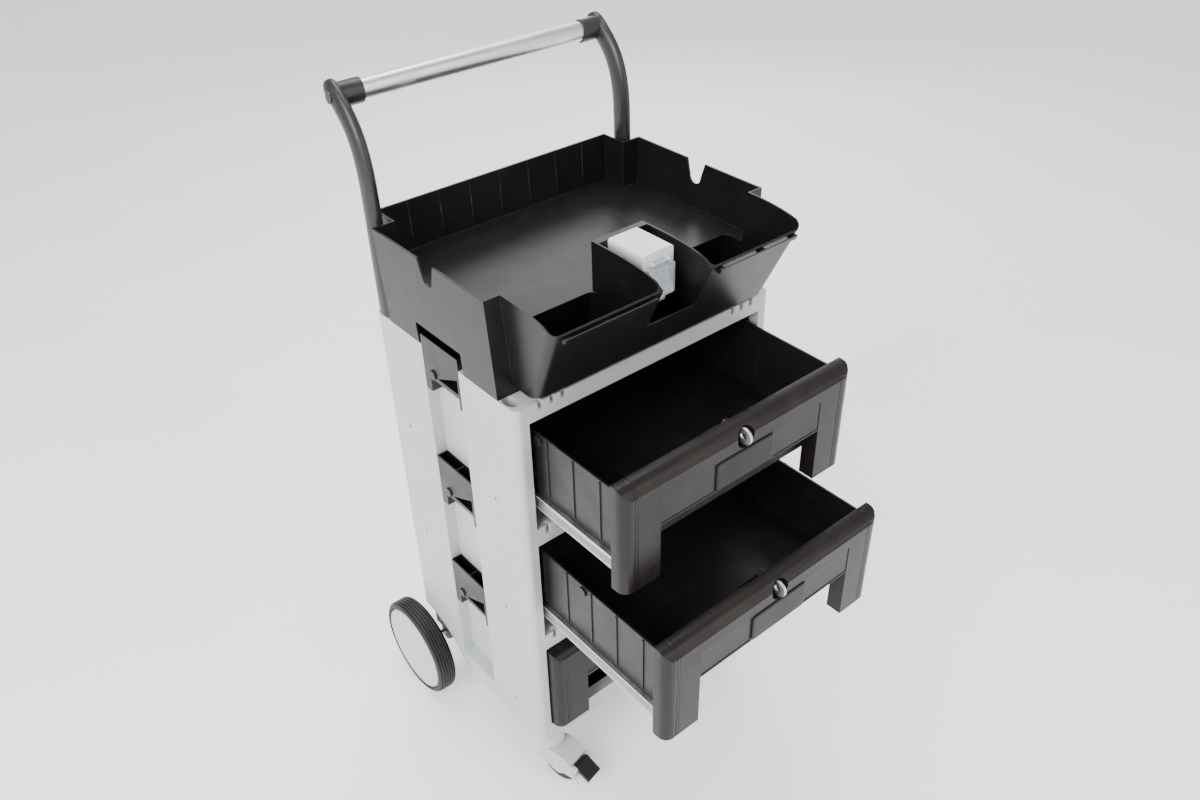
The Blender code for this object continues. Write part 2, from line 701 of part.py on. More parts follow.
def socket_section(inset):
    """Outline in (x, z) of the socket box, or of the hollow in it."""
    low, high = (-BOX_HALF_X + inset, BOX_LOW_Z + inset), (BOX_HALF_X - inset, BOX_HIGH_Z - inset)
    return rounded(low, high, 0.005 - inset / 2, 3)


def socket_housing():
    """Rear half of the socket box, with the cable entry in a collar below it."""
    name = "socket_housing"
    shell = prism_y(name, socket_section(0.0), BOX_SPLIT_Y + GAP / 2, BOX_REAR_Y, "white_housing")
    unite(shell,
          rod(name + "_collar", (0, -0.140, BOX_LOW_Z - 0.014), (0, -0.140, BOX_LOW_Z + 0.001), 0.0080, 20))
    cut(shell,
        prism_y(name + "_hollow", socket_section(BOX_SHELL), BOX_SPLIT_Y - OVER, BOX_REAR_Y - BOX_SHELL))
    return cut(shell,
               rod(name + "_entry", (0, -0.140, BOX_LOW_Z - 0.020), (0, -0.140, BOX_LOW_Z + OVER), 0.0045,
                   16))


def socket_cover():
    """Front half of the socket box: a hollow frame round the outlet, with two screw heads above."""
    name = "socket_cover"
    shell = prism_y(name, socket_section(0.0), BOX_FRONT_Y, BOX_SPLIT_Y - GAP / 2, "white_housing")
    cut(shell,
        prism_y(name + "_hollow", socket_section(BOX_SHELL), BOX_FRONT_Y + 0.003, BOX_SPLIT_Y + OVER))
    cut(shell,
        prism_y(name + "_hole", circle((0, OUTLET_Z), 0.0215, 24), BOX_FRONT_Y - OVER, BOX_FRONT_Y + OVER))
    heads = [prism_y("head", circle((side * 0.0245, BOX_HIGH_Z - 0.0065), 0.0026, 12), BOX_FRONT_Y - 0.0008,
                     BOX_FRONT_Y + 0.001) for side, _ in SIDES]
    return unite(shell, group(name + "_heads", heads))


def socket_outlet():
    """The round outlet behind the lid, with its well and two contact holes."""
    name = "socket_outlet"
    body = prism_y(name, circle((0, OUTLET_Z), 0.0210, 24), BOX_FRONT_Y + GAP, BOX_SPLIT_Y - 0.004,
                   "white_housing")
    cut(body,
        prism_y(name + "_well", circle((0, OUTLET_Z), 0.0175, 20), BOX_FRONT_Y - OVER, BOX_FRONT_Y + 0.013))
    holes = [prism_y("hole", circle((x, OUTLET_Z), 0.0027, 12), BOX_FRONT_Y + 0.010, BOX_FRONT_Y + 0.025)
             for x in (-0.0095, 0.0095)]
    return cut(body, group(name + "_holes", holes))


def socket_lid():
    """Clear flap over the outlet, hung from its upper edge."""
    name = "socket_lid"
    back, front = BOX_FRONT_Y - GAP, BOX_FRONT_Y - GAP - 0.0085
    top = LID_HINGE_Z - 0.004
    flap = prism_y(name, rounded((-LID_HALF, LID_LOW_Z), (LID_HALF, top), 0.003, 3), front, back,
                   "clear_lid")
    knuckle = rod(name + "_knuckle", (-0.012, LID_HINGE_Y, LID_HINGE_Z), (0.012, LID_HINGE_Y, LID_HINGE_Z),
                  0.0033, 16)
    neck = box(name + "_neck", (-0.011, LID_HINGE_Y - 0.0030, top - 0.002),
               (0.011, LID_HINGE_Y + 0.001, LID_HINGE_Z))
    tab = box(name + "_tab", (-0.006, front - 0.0005, LID_LOW_Z - 0.005),
              (0.006, front + 0.0035, LID_LOW_Z + 0.001))
    unite(flap, knuckle, neck, tab)
    cut(flap,
        prism_y(name + "_hollow",
                rounded((-LID_HALF + 0.002, LID_LOW_Z + 0.002), (LID_HALF - 0.002, top - 0.002),
                                                0.002, 3), front + 0.002, back + OVER))
    cut(flap,
        rod(name + "_bore", (-0.02, LID_HINGE_Y, LID_HINGE_Z), (0.02, LID_HINGE_Y, LID_HINGE_Z), 0.0016,
            12))
    return set_origin(flap, (0, LID_HINGE_Y, LID_HINGE_Z))


def socket_hinge():
    """The lid's pin and the two eyes that carry it."""
    pin = rod("socket_hinge", (-0.0165, LID_HINGE_Y, LID_HINGE_Z), (0.0165, LID_HINGE_Y, LID_HINGE_Z),
              0.0013, 12,
              "white_housing")
    reach = 0.0032
    eye = [(BOX_FRONT_Y - GAP, LID_HINGE_Z - reach), (LID_HINGE_Y, LID_HINGE_Z - reach),
           (LID_HINGE_Y - 0.003, LID_HINGE_Z),
           (LID_HINGE_Y, LID_HINGE_Z + reach), (BOX_FRONT_Y - GAP, LID_HINGE_Z + reach)]
    eyes = [prism_x("eye", eye, *span(side, 0.0126, 0.0170)) for side, _ in SIDES]
    return unite(pin, group("socket_hinge_eyes", eyes))


# ---------------------------------------------------------------- drawers


def drawer_box(name, face, base):
    """The open drawer box behind a front, with stiffening ribs along its sides."""
    low_y, high_y = face + FRONT_DEPTH + GAP, face + FRONT_DEPTH + GAP + BOX_LENGTH
    shell = box(name, (-BOX_HALF, low_y, base + BOX_BASE), (BOX_HALF, high_y, base + BOX_TOP),
                "charcoal_drawer")
    ribs = []
    for side, _ in SIDES:
        ends = span(side, BOX_HALF - 0.001, BOX_HALF + 0.0018)
        for step in range(1, 6):
            y = face + step * RIB_PITCH
            ribs.append(box("rib", (ends[0], y - 0.0015, base + 0.067),
                            (ends[1], y + 0.0015, base + BOX_TOP - 0.003)))
        stop = circle((face + 0.196, base + BOX_TOP - 0.011), 0.0085, 14)
        ribs.append(prism_x("stop", stop, *span(side, BOX_HALF - 0.001, BOX_HALF + 0.0035)))
    unite(shell, group(name + "_ribs", ribs))
    cut(shell, box(name + "_hollow", (-BOX_HALF + THIN, low_y + THIN, base + BOX_BASE + THIN),
                   (BOX_HALF - THIN, high_y - THIN, base + BOX_TOP + OVER)))
    return cut(shell, box(name + "_lock_relief", (-0.016, low_y - OVER, base + LOCK_HEIGHT - 0.016),
                          (0.016, low_y + THIN + 0.001, base + BOX_TOP + OVER)))


def drawer_front(name, face, base):
    """The front: a crowned shell with a leg at each end and a hand gap between them."""
    back, top = face + FRONT_DEPTH, base + FRONT_HEIGHT
    block = rounded((-FRONT_HALF, face), (FRONT_HALF, back + 0.03), CORNER_RADIUS)
    outline = [(x, y) for x, y in block if y < back]
    outline += [(FRONT_HALF, back), (-FRONT_HALF, back)]
    shell = prism(name, outline, base, top, "charcoal_drawer")
    crown = [(face - OVER, top + OVER), (face - OVER, top - CROWN[1])]
    steps = 5
    for step in range(1, steps + 1):
        angle = math.radians(90 * step / steps)
        crown.append((face + CROWN[0] * (1 - math.cos(angle)), top - CROWN[1] * (1 - math.sin(angle))))
    crown.append((face + CROWN[0], top + OVER))
    cut(shell, prism_x(name + "_crown", crown, -0.3, 0.3))
    out, inn, roof = FRONT_HALF - FRONT_SIDE_WALL, GRIP_HALF + FRONT_WALL, top - CROWN[1] - 0.006
    low, high = base + FRONT_WALL, base + GRIP_HEIGHT + FRONT_WALL
    hollow = [(-out, low), (-inn, low), (-inn, high), (inn, high), (inn, low), (out, low), (out, roof),
              (-out, roof)]
    cut(shell, prism_y(name + "_hollow", hollow, face + FRONT_WALL, back + OVER))
    boss = box(name + "_boss", (-BOSS_HALF, face + FRONT_WALL - 0.001, base + BOSS_LOW),
               (BOSS_HALF, back, roof + 0.001))
    unite(shell, boss)
    cut(shell,
        box(name + "_grip", (-GRIP_HALF, face - OVER, base - OVER),
            (GRIP_HALF, back + OVER, base + GRIP_HEIGHT)))
    axis = base + LOCK_HEIGHT
    rings = []
    for depth, radius in SCOOP_PROFILE:
        rings.append([(x, face + depth, z) for x, z in circle((0, axis), radius, 24)])
    cut(shell, loft(name + "_scoop", rings))
    bore = circle((0, axis), BARREL_RADIUS + GAP, 16)
    return cut(shell, prism_y(name + "_bore", bore, face - OVER, back + OVER))


def drawer_nameplate(name, face, base):
    """A blank, slightly crowned plate between the lock and the hand gap."""
    low, high = (-PLATE_HALF, base + GRIP_HEIGHT + 0.001), (PLATE_HALF, base + PLATE_TOP)
    rings = []
    for depth, inset in ((GAP, 0.0), (0.5 * PLATE_DEPTH, 0.0), (PLATE_DEPTH, 0.0035)):
        outline = rounded((low[0] + inset, low[1] + inset), (high[0] - inset, high[1] - inset),
                          0.006 - inset, 3)
        rings.append([(x, face - depth, z) for x, z in outline])
    return loft(name, rings, "dark_trim")


def drawer_lock(name, face, base):
    """Lock barrel at the bottom of its scoop, with a cam that turns up behind the rail above the drawer."""
    axis, cam_y, head_y = base + LOCK_HEIGHT, face + CAM_OFFSET, face + SCOOP_DEPTH - 0.001
    barrel = rod(name, (0, head_y, axis), (0, cam_y + 0.004, axis), BARREL_RADIUS, 16, "dark_trim")
    cam = [(0.007, axis - 0.006), (0.007, axis + 0.006), (-CAM_REACH, axis + 0.005),
           (-CAM_REACH, axis - 0.005)]
    unite(barrel, prism_y(name + "_cam", cam, cam_y, cam_y + 0.003))
    slot = box(name + "_slot", (-0.0014, head_y - OVER, axis - 0.0050),
               (0.0014, head_y + SLOT_DEPTH, axis + 0.0050))
    return set_origin(cut(barrel, slot), (0, face, axis))


def drawer_key(name, face, base):
    """The ring-shaped key, which stands half out of the scoop."""
    axis, bow_y = base + LOCK_HEIGHT, face - KEY_CENTRE
    bow = prism_x(name, oval((bow_y, axis), *KEY_HALF, 28), -KEY_THICK / 2, KEY_THICK / 2, "lock_metal")
    tip_y = face + SCOOP_DEPTH + SLOT_DEPTH - 0.003
    unite(bow,
          box(name + "_blade", (-0.0011, bow_y + 0.011, axis - 0.0040), (0.0011, tip_y, axis + 0.0040)))
    hole = oval((bow_y, axis), *KEY_HOLE, 20)
    return set_origin(cut(bow, prism_x(name + "_hole", hole, -OVER, OVER)), (0, face, axis))


def moving_runner(name, side, face, base):
    """The inner runner member fixed along one side of a drawer."""
    edge = RUNNER_SHEET + RUNNER_PLAY
    low, high = base + RUNNER_BASE + edge, base + RUNNER_BASE + RUNNER_HEIGHT - edge
    inner, web, sheet = BOX_HALF + GAP, RUNNER_OUTER - edge, 0.0018
    section = [(inner, low), (web, low), (web, low + sheet), (inner + sheet, low + sheet),
               (inner + sheet, high - sheet), (web, high - sheet), (web, high), (inner, high)]
    low_y = face + FRONT_DEPTH + GAP
    outline = [(side * x, z) for x, z in section]
    return prism_y(name, outline, low_y, low_y + BOX_LENGTH - 0.004, "runner_steel")


def fixed_runners(name, seam):
    """The C-shaped channels along both walls of a bay, which the moving runners slide in."""
    members = []
    lip, web = RUNNER_OUTER - 0.008, RUNNER_OUTER - RUNNER_SHEET
    low = seam + DRAWER_LIFT + RUNNER_BASE
    high = low + RUNNER_HEIGHT
    root = BAY_HALF + 0.001
    section = [(root, low), (root, high), (lip, high), (lip, high - RUNNER_SHEET),
               (web, high - RUNNER_SHEET),
               (web, low + RUNNER_SHEET), (lip, low + RUNNER_SHEET), (lip, low)]
    for side, _ in SIDES:
        outline = [(side * x, z) for x, z in section]
        members.append(prism_y("runner", outline, FRONT_Y + 0.011, REAR_Y - WALL - 0.012))
    return group(name, members)


def drawer(index):
    """One drawer with everything that slides with it."""
    base = SEAMS[index + 1] + DRAWER_LIFT
    face = FRONT_Y - FRONT_PROUD - DRAWER_OPEN[index]
    name = "drawer_%s_" % LEVELS[index]
    drawer_box(name + "box", face, base)
    drawer_front(name + "front", face, base)
    drawer_nameplate(name + "nameplate", face, base)
    for side, word in SIDES:
        moving_runner(name + "runner_" + word, side, face, base)
    drawer_lock(name + "lock", face, base)
    drawer_key(name + "key", face, base)


# ---------------------------------------------------------------- wheels


def wheel_centre(side):
    """Middle of a rear wheel."""
    return Vector((side * sum(TYRE_X) / 2, WHEEL_Y, WHEEL_RADIUS))


def rear_axle():
    """Steel axle through the chassis lugs and both rear wheels."""
    half = TYRE_X[1] - 0.010
    return rod("rear_axle", (-half, WHEEL_Y, WHEEL_RADIUS), (half, WHEEL_Y, WHEEL_RADIUS), AXLE_RADIUS, 16,
               "runner_steel")


def rear_tyre(name, side):
    """Tyre with rounded shoulders."""
    half, inner, tread = (TYRE_X[1] - TYRE_X[0]) / 2, RIM_RADIUS + GAP, WHEEL_RADIUS
    outer_half = [(inner, half - 0.004), (inner + 0.003, half - 0.001), (tread - 0.006, half),
                  (tread - 0.0015, half - 0.004),
                  (tread, half - 0.010)]
    profile = outer_half + [(radius, -height) for radius, height in reversed(outer_half)]
    return set_origin(turned(name, profile, wheel_centre(side), (1, 0, 0), WHEEL_SIDES, "tyre_rubber"),
                      wheel_centre(side))


def rear_rim(name, side):
    """Moulded rim with a hub that turns on the axle."""
    bore = AXLE_RADIUS + GAP
    profile = [(bore, -0.0160), (0.015, -0.0160), (0.015, -0.0040), (0.070, -0.0040), (0.074, -0.0150),
               (RIM_RADIUS, -0.0150), (RIM_RADIUS, 0.0150), (0.084, 0.0150), (0.081, 0.0070),
               (0.015, 0.0020),
               (0.015, 0.0090), (bore, 0.0090)]
    turned_out = [(radius, side * height) for radius, height in profile]
    return set_origin(turned(name, turned_out, wheel_centre(side), (1, 0, 0), WHEEL_SIDES, "grey_body"),
                      wheel_centre(side))


def wheel_cap(name, side):
    """Domed cover snapped over the rim's outer side."""
    centre = wheel_centre(side)
    out = Vector((side, 0, 0))
    profile = [(0.0865, 0.0), (0.0865, 0.3), (0.080, 0.6), (0.055, 0.88), (0.020, 1.0)]
    cap = cone(name, centre + out * 0.0153, centre + out * 0.0225, profile, WHEEL_SIDES, "grey_body")
    return set_origin(cap, centre)


def caster_point(side, u, w, z):
    """World point of one caster: u ahead of its swivel axis, w across it."""
    sine, cosine = math.sin(CASTER_HEADING[side]), math.cos(CASTER_HEADING[side])
    return Vector((side * CASTER_X + u * sine + w * cosine, CASTER_Y - u * cosine + w * sine, z))


def caster_block(name, side, outline, half, finish=None):
    """A block across one caster, with a (u, z) outline."""
    rings = [[tuple(caster_point(side, u, w, z)) for u, z in outline] for w in (-half, half)]
    return loft(name, rings, finish)


def caster_mount(name, side):
    """The fixed mounting disc and stem of one caster."""
    x = side * CASTER_X
    shoulder = (NECK_TOP_Z + GAP * 2 - STEM_BASE_Z) / (FLOOR_Z - GAP - STEM_BASE_Z)
    profile = [(STEM_RADIUS, 0.0), (STEM_RADIUS, shoulder), (0.0270, shoulder), (0.0290, 0.75),
               (0.0290, 1.0)]
    return cone(name, (x, CASTER_Y, STEM_BASE_Z), (x, CASTER_Y, FLOOR_Z - GAP), profile, CASTER_SIDES,
                "caster_grey")


def caster_fork(name, side):
    """Hooded fork that swivels on the stem and carries the wheel and the brake pedal."""
    hub = (CASTER_TRAIL, CASTER_RADIUS)
    x = side * CASTER_X
    hood = caster_block(name, side, circle(hub, HOOD_RADIUS, CASTER_SIDES), HOOD_HALF, "caster_grey")
    neck = [(0.0240, 0.0), (0.0265, 0.6), (0.0265, 1.0)]
    unite(hood, cone(name + "_neck", (x, CASTER_Y, 0.056), (x, CASTER_Y, NECK_TOP_Z), neck, CASTER_SIDES))
    unite(hood, caster_block(name + "_ears", side, circle(PEDAL_PIVOT, 0.0080, 12), HOOD_HALF - 0.0006))
    cut(hood,
        caster_block(name + "_well", side, circle(hub, CASTER_RADIUS + 0.002, CASTER_SIDES), WELL_HALF))
    below = [(-0.060, -0.010), (0.120, -0.010), (0.120, 0.040), (0.047, 0.034), (0.036, 0.026),
             (0.024, 0.026),
             (0.013, 0.034), (-0.060, 0.044)]
    cut(hood, caster_block(name + "_below", side, below, HOOD_HALF + OVER))
    nose = [(0.0560, 0.020), (0.1000, 0.020), (0.1000, 0.0700), (0.0640, 0.0700)]
    cut(hood, caster_block(name + "_nose", side, nose, WELL_HALF - 0.0005))
    cut(hood, rod(name + "_stem", (x, CASTER_Y, STEM_BASE_Z - 0.003), (x, CASTER_Y, NECK_TOP_Z + OVER),
                  STEM_RADIUS + GAP, 12))
    cut(hood, caster_block(name + "_axle", side, circle(hub, CASTER_PIN + GAP, 12), HOOD_HALF + OVER))
    cut(hood,
        caster_block(name + "_pivot", side, circle(PEDAL_PIVOT, PEDAL_PIN + GAP, 8), HOOD_HALF + OVER))
    return set_origin(hood, (x, CASTER_Y, NECK_TOP_Z))


def caster_wheel(name, side):
    """Small wheel with two treads and a groove between them."""
    hub = caster_point(side, CASTER_TRAIL, 0, CASTER_RADIUS)
    across = caster_point(side, 0, 1, 0) - caster_point(side, 0, 0, 0)
    half = WELL_HALF - 0.001
    one_side = [(CASTER_PIN + GAP, half), (0.022, half), (0.024, half - 0.002),
                (CASTER_RADIUS - 0.003, half - 0.001),
                (CASTER_RADIUS, half - 0.004), (CASTER_RADIUS, 0.0035), (CASTER_RADIUS - 0.005, 0.0020)]
    profile = one_side + [(radius, -height) for radius, height in reversed(one_side)]
    return set_origin(turned(name, profile, hub, across, CASTER_SIDES, "tyre_rubber"), hub)


def caster_axle(name, side):
    """Pin through the fork and the wheel, with a flush round head at each end."""
    hub = circle((CASTER_TRAIL, CASTER_RADIUS), CASTER_PIN, 12)
    return caster_block(name, side, hub, HOOD_HALF + 0.0005, "runner_steel")


def caster_pedal(name, side):
    """Brake pedal: a square pad on a short lever that turns on its own pin in the fork."""
    u, z = PEDAL_PIVOT
    half = WELL_HALF - 0.0012
    pad = [(u, z - 0.004), (u + 0.0300, z - 0.0185), (u + 0.0320, z - 0.0125), (u + 0.003, z + 0.0045)]
    pedal = caster_block(name, side, pad, half, "dark_trim")
    unite(pedal, caster_block(name + "_lever", side, circle(PEDAL_PIVOT, 0.0048, 12), half - 0.001))
    unite(pedal, caster_block(name + "_pin", side, circle(PEDAL_PIVOT, PEDAL_PIN, 8), HOOD_HALF - 0.0020))
    return set_origin(pedal, caster_point(side, u, 0, z))


# ---------------------------------------------------------------- assembly


def build_sides():
    """Everything that comes once for each side."""
    for side, word in SIDES:
        for index, level in enumerate(LEVELS):
            side_bracket("side_bracket_%s_%s" % (word, level), side, SEAMS[index])
        handle_arm("handle_arm_" + word, side)
        rear_tyre("rear_tyre_" + word, side)
        rear_rim("rear_rim_" + word, side)
        wheel_cap("rear_wheel_cap_" + word, side)
        label_rail("bin_label_rail_" + word, side)
        caster_mount("caster_mount_" + word, side)
        caster_fork("caster_fork_" + word, side)
        caster_wheel("caster_wheel_" + word, side)
        caster_axle("caster_axle_" + word, side)
        caster_pedal("caster_pedal_" + word, side)


def place_trolley():
    """Move the whole trolley so that its footprint is centred on the origin."""
    root = bpy.data.objects.new("trolley_root", None)
    bpy.context.collection.objects.link(root)
    root.location = (0, ORIGIN_SHIFT, 0)
    for member in bpy.data.objects:
        if member is not root and member.parent is None:
            member.parent = root


def build():
    """Build every piece of the trolley."""
    for existing in list(bpy.data.objects):
        bpy.data.objects.remove(existing)
    for index in range(len(LEVELS)):
        body_module(index)
        drawer(index)
    chassis()
    tray()
    handle_bar()
    socket_housing()
    socket_cover()
    socket_outlet()
    socket_lid()
    socket_hinge()
    rear_axle()
    build_sides()
    round_shading()
    place_trolley()


build()
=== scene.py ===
"""Wheeled detailing trolley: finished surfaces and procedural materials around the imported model."""
import sys

import logging
import math
from dataclasses import dataclass
from enum import Enum
from typing import Sequence, Union

import bmesh
import bpy
import numpy as np
from mathutils import Matrix, Vector


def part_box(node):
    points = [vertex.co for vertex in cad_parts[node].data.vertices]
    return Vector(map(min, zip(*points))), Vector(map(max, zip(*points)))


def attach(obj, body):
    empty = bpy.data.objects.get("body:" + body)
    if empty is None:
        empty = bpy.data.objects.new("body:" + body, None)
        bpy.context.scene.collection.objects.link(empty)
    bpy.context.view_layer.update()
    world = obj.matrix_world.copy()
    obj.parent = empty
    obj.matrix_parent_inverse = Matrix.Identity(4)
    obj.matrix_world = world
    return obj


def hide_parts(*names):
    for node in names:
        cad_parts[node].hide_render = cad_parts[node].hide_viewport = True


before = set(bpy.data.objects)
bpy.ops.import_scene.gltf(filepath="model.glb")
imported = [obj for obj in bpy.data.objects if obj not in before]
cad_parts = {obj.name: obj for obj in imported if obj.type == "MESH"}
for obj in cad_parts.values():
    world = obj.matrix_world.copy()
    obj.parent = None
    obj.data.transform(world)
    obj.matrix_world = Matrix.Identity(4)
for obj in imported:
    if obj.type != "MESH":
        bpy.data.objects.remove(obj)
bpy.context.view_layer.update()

log = logging.getLogger("trolley")

Colour = tuple[float, float, float]
SIDES = ((-1, "left"), (1, "right"))
LEVELS = ("upper", "middle", "lower")

SHARP_DEGREES = 38.0
FLAT_DEGREES = 0.5
MESH_WELD = 1e-6
CAD_WELD = 2e-6
# The Mix node's own numbers of its share, its two colours and its mixed colour.
MIX_SHARE, MIX_FIRST, MIX_SECOND, MIX_RESULT = 0, 6, 7, 2


# ------------------------------------------------------------------ shader maths


class Signal:
    """A value, colour or vector on its way through a shader tree."""

    def __init__(self, tree: "ShaderTree", socket: bpy.types.NodeSocket) -> None:
        """Wrap one output socket of a tree."""
        self.tree = tree
        self.socket = socket

    def _math(self, operation: str, first: object, second: object) -> "Signal":
        """Add one Math node.

        Args:
            operation: The Math node's operation.
            first: Its first value or signal.
            second: Its second value or signal.

        Returns:
            The node's result.
        """
        return self.tree.make("ShaderNodeMath", {"operation": operation}, {0: first, 1: second})

    def __add__(self, other: object) -> "Signal":
        """Sum."""
        return self._math("ADD", self, other)

    __radd__ = __add__

    def __sub__(self, other: object) -> "Signal":
        """Difference."""
        return self._math("SUBTRACT", self, other)

    def __rsub__(self, other: object) -> "Signal":
        """Difference from a number."""
        return self._math("SUBTRACT", other, self)

    def __mul__(self, other: object) -> "Signal":
        """Product."""
        return self._math("MULTIPLY", self, other)

    __rmul__ = __mul__

    def between(self, low: float, high: float) -> "Signal":
        """Where this signal lies from low to high, as 0 to 1, held at both ends.

        Args:
            low: The value that gives 0.
            high: The value that gives 1.

        Returns:
            The remapped signal.
        """
        ranged = {"From Min": low, "From Max": high, "Value": self}
        settings = {"clamp": True, "interpolation_type": "SMOOTHSTEP"}
        return self.tree.make("ShaderNodeMapRange", settings, ranged)


class ShaderTree:
    """A material's nodes, made one by one and linked by value."""

    def __init__(self, name: str) -> None:
        """Start a material that holds a Principled shader alone.

        Args:
            name: The material's name.
        """
        self.material = bpy.data.materials.new(name)
        self.material.use_nodes = True
        self.nodes = self.material.node_tree.nodes
        self.links = self.material.node_tree.links
        self.shader = self.nodes["Principled BSDF"]
        self.place = self.make("ShaderNodeTexCoord", {}, {}, "Object")

    def make(self, kind: str, settings: dict[str, object], inputs: dict[object, object],
             output: Union[int, str] = 0) -> Signal:
        """Add any node.

        Args:
            kind: The node's type.
            settings: Its properties, set before its sockets.
            inputs: Values or signals by socket name or number.
            output: Which of its outputs to return.

        Returns:
            The chosen output.
        """
        node = self.nodes.new(kind)
        for key, value in settings.items():
            setattr(node, key, value)
        for key, value in inputs.items():
            self.feed(node.inputs[key], value)
        return Signal(self, node.outputs[output])

    def feed(self, socket: bpy.types.NodeSocket, value: object) -> None:
        """Link a signal to a socket, or set the socket's own value.

        Args:
            socket: An input socket.
            value: A signal, or a value that the socket takes.
        """
        if isinstance(value, Signal):
            self.links.new(value.socket, socket)
        else:
            socket.default_value = value

    def stretched(self, stretch: Sequence[float]) -> Signal:
        """Object coordinates multiplied by one factor on each axis."""
        sockets = {0: self.place, 1: tuple(stretch)}
        return self.make("ShaderNodeVectorMath", {"operation": "MULTIPLY"}, sockets)

    def noise(self, scale: float, detail: float = 2.0,
              stretch: Sequence[float] = (1.0, 1.0, 1.0)) -> Signal:
        """Noise on object coordinates.

        Args:
            scale: Features per metre.
            detail: Octaves.
            stretch: Factors on the three axes; a small one draws the noise out along its axis.

        Returns:
            Values about one half.
        """
        place = self.stretched(stretch)
        return self.make("ShaderNodeTexNoise", {}, {"Vector": place, "Scale": scale, "Detail": detail})

    def cells(self, scale: float) -> Signal:
        """Distance to the nearest of scattered points, with that many points per metre."""
        return self.make("ShaderNodeTexVoronoi", {}, {"Vector": self.place, "Scale": scale}, "Distance")

    def blend(self, share: object, first: object, second: object) -> Signal:
        """Mix two colours by a share from 0 to 1."""
        sockets = {MIX_SHARE: share, MIX_FIRST: opaque(first), MIX_SECOND: opaque(second)}
        return self.make("ShaderNodeMix", {"data_type": "RGBA"}, sockets, MIX_RESULT)

    def edges(self, radius: float = 0.0012) -> Signal:
        """How strongly the surface bends within a radius: 0 on flat parts, towards 1 on sharp edges.

        It is one minus the dot product of the plain normal and the normal rounded over the radius.

        Args:
            radius: The reach in metres.

        Returns:
            Values from 0 to 1.
        """
        worn = self.make("ShaderNodeBevel", {"samples": 4}, {"Radius": radius})
        plain = self.make("ShaderNodeNewGeometry", {}, {}, "Normal")
        sockets = {0: worn, 1: plain}
        along = self.make("ShaderNodeVectorMath", {"operation": "DOT_PRODUCT"}, sockets, "Value")
        return (1.0 - along).between(0.02, 0.30)

    def bump(self, height: Signal, distance: float) -> None:
        """Raise the surface by a height from 0 to 1 times a distance in metres."""
        raised = self.make("ShaderNodeBump", {}, {"Strength": 1.0, "Distance": distance, "Height": height})
        self.feed(self.shader.inputs["Normal"], raised)

    def fill(self, **sockets: object) -> bpy.types.Material:
        """Set the shader's sockets.

        Args:
            sockets: Values or signals by socket name, with underscores for spaces.

        Returns:
            The material.
        """
        for key, value in sockets.items():
            self.feed(self.shader.inputs[key.replace("_", " ")], value)
        return self.material


def opaque(colour: object) -> object:
    """A colour with full alpha, or a signal as it is."""
    return colour if isinstance(colour, Signal) else (*colour, 1.0)


def scaled(colour: Colour, factor: float) -> Colour:
    """A colour made lighter or darker."""
    return tuple(min(1.0, part * factor) for part in colour)


# ------------------------------------------------------------------ finishes


@dataclass(frozen=True)
class MouldedPlastic:
    """Injection-moulded plastic: spark-eroded grain, cooling marks, hand smudges, and edges lightened as
    rubbed wear and painted highlight.
    """

    name: str
    slot: str
    colour: Colour
    roughness: float
    grain_per_metre: float = 1400.0
    grain_depth: float = 0.00006
    mottle: float = 0.06
    edge_wear_and_highlight_lift: float = 1.25
    # How much lighter the edges get, and on what share of them: rubbed wear and painted edge highlight
    # together.
    edge_wear_and_highlight_share: float = 0.5
    coat: float = 0.0
    haze: Colour = (0.5, 0.5, 0.5)
    haze_share: float = 0.0
    streaks: float = 0.0
    smudges: float = 0.10
    specular: float = 0.5

    def build(self) -> bpy.types.Material:
        """Make the material.

        Returns:
            The material.
        """
        tree = ShaderTree(self.name)
        cloud = tree.noise(7.0, 3.0)
        flow = tree.noise(16.0, 4.0, (1.0, 1.0, 0.12))
        tone = (cloud * 0.6 + flow * 0.4).between(0.3, 0.7)
        darker, lighter = scaled(self.colour, 1.0 - self.mottle), scaled(self.colour, 1.0 + self.mottle)
        base = tree.blend(tone, darker, lighter)
        dust = tree.noise(38.0, 5.0).between(0.52, 0.75)
        if self.haze_share:
            base = tree.blend(dust * self.haze_share, base, self.haze)
        if self.streaks:
            flow_mark = tree.noise(17.0, 1.5, (1.0, 0.3, 0.12)).between(0.42, 0.72)
            base = tree.blend(flow_mark * self.streaks, base, scaled(self.haze, 0.75))
        # Edges lightened towards a paler copy of the colour: partly rubbed wear, partly a painted edge
        # highlight.
        rubbed_and_highlit = tree.edges() * tree.noise(90.0, 3.0).between(0.25, 0.7) * self.edge_wear_and_highlight_share
        base = tree.blend(rubbed_and_highlit, base, scaled(self.colour, self.edge_wear_and_highlight_lift))
        smudge = tree.noise(22.0, 4.0).between(0.35, 0.7)
        scratch = tree.noise(60.0, 2.0, (1.0, 0.04, 14.0)).between(0.66, 0.72)
        rough = smudge * self.smudges + scratch * 0.10 - rubbed_and_highlit * 0.08 + (self.roughness - 0.05)
        grain = tree.noise(self.grain_per_metre, 2.0) * 0.7 + tree.cells(self.grain_per_metre * 0.6) * 0.3
        tree.bump(grain - scratch * 0.4, self.grain_depth)
        tree.fill(Coat_Weight=self.coat, Coat_Roughness=0.25, Specular_IOR_Level=self.specular)
        return tree.fill(Base_Color=base, Roughness=rough)


class Lay(Enum):
    """Which way a metal's brushing or drawing marks run, as noise stretches on the three axes."""

    ALONG_X = (0.012, 1.0, 1.0)
    ALONG_Y = (1.0, 0.012, 1.0)
    ROUND_X = (1.0, 0.12, 0.12)


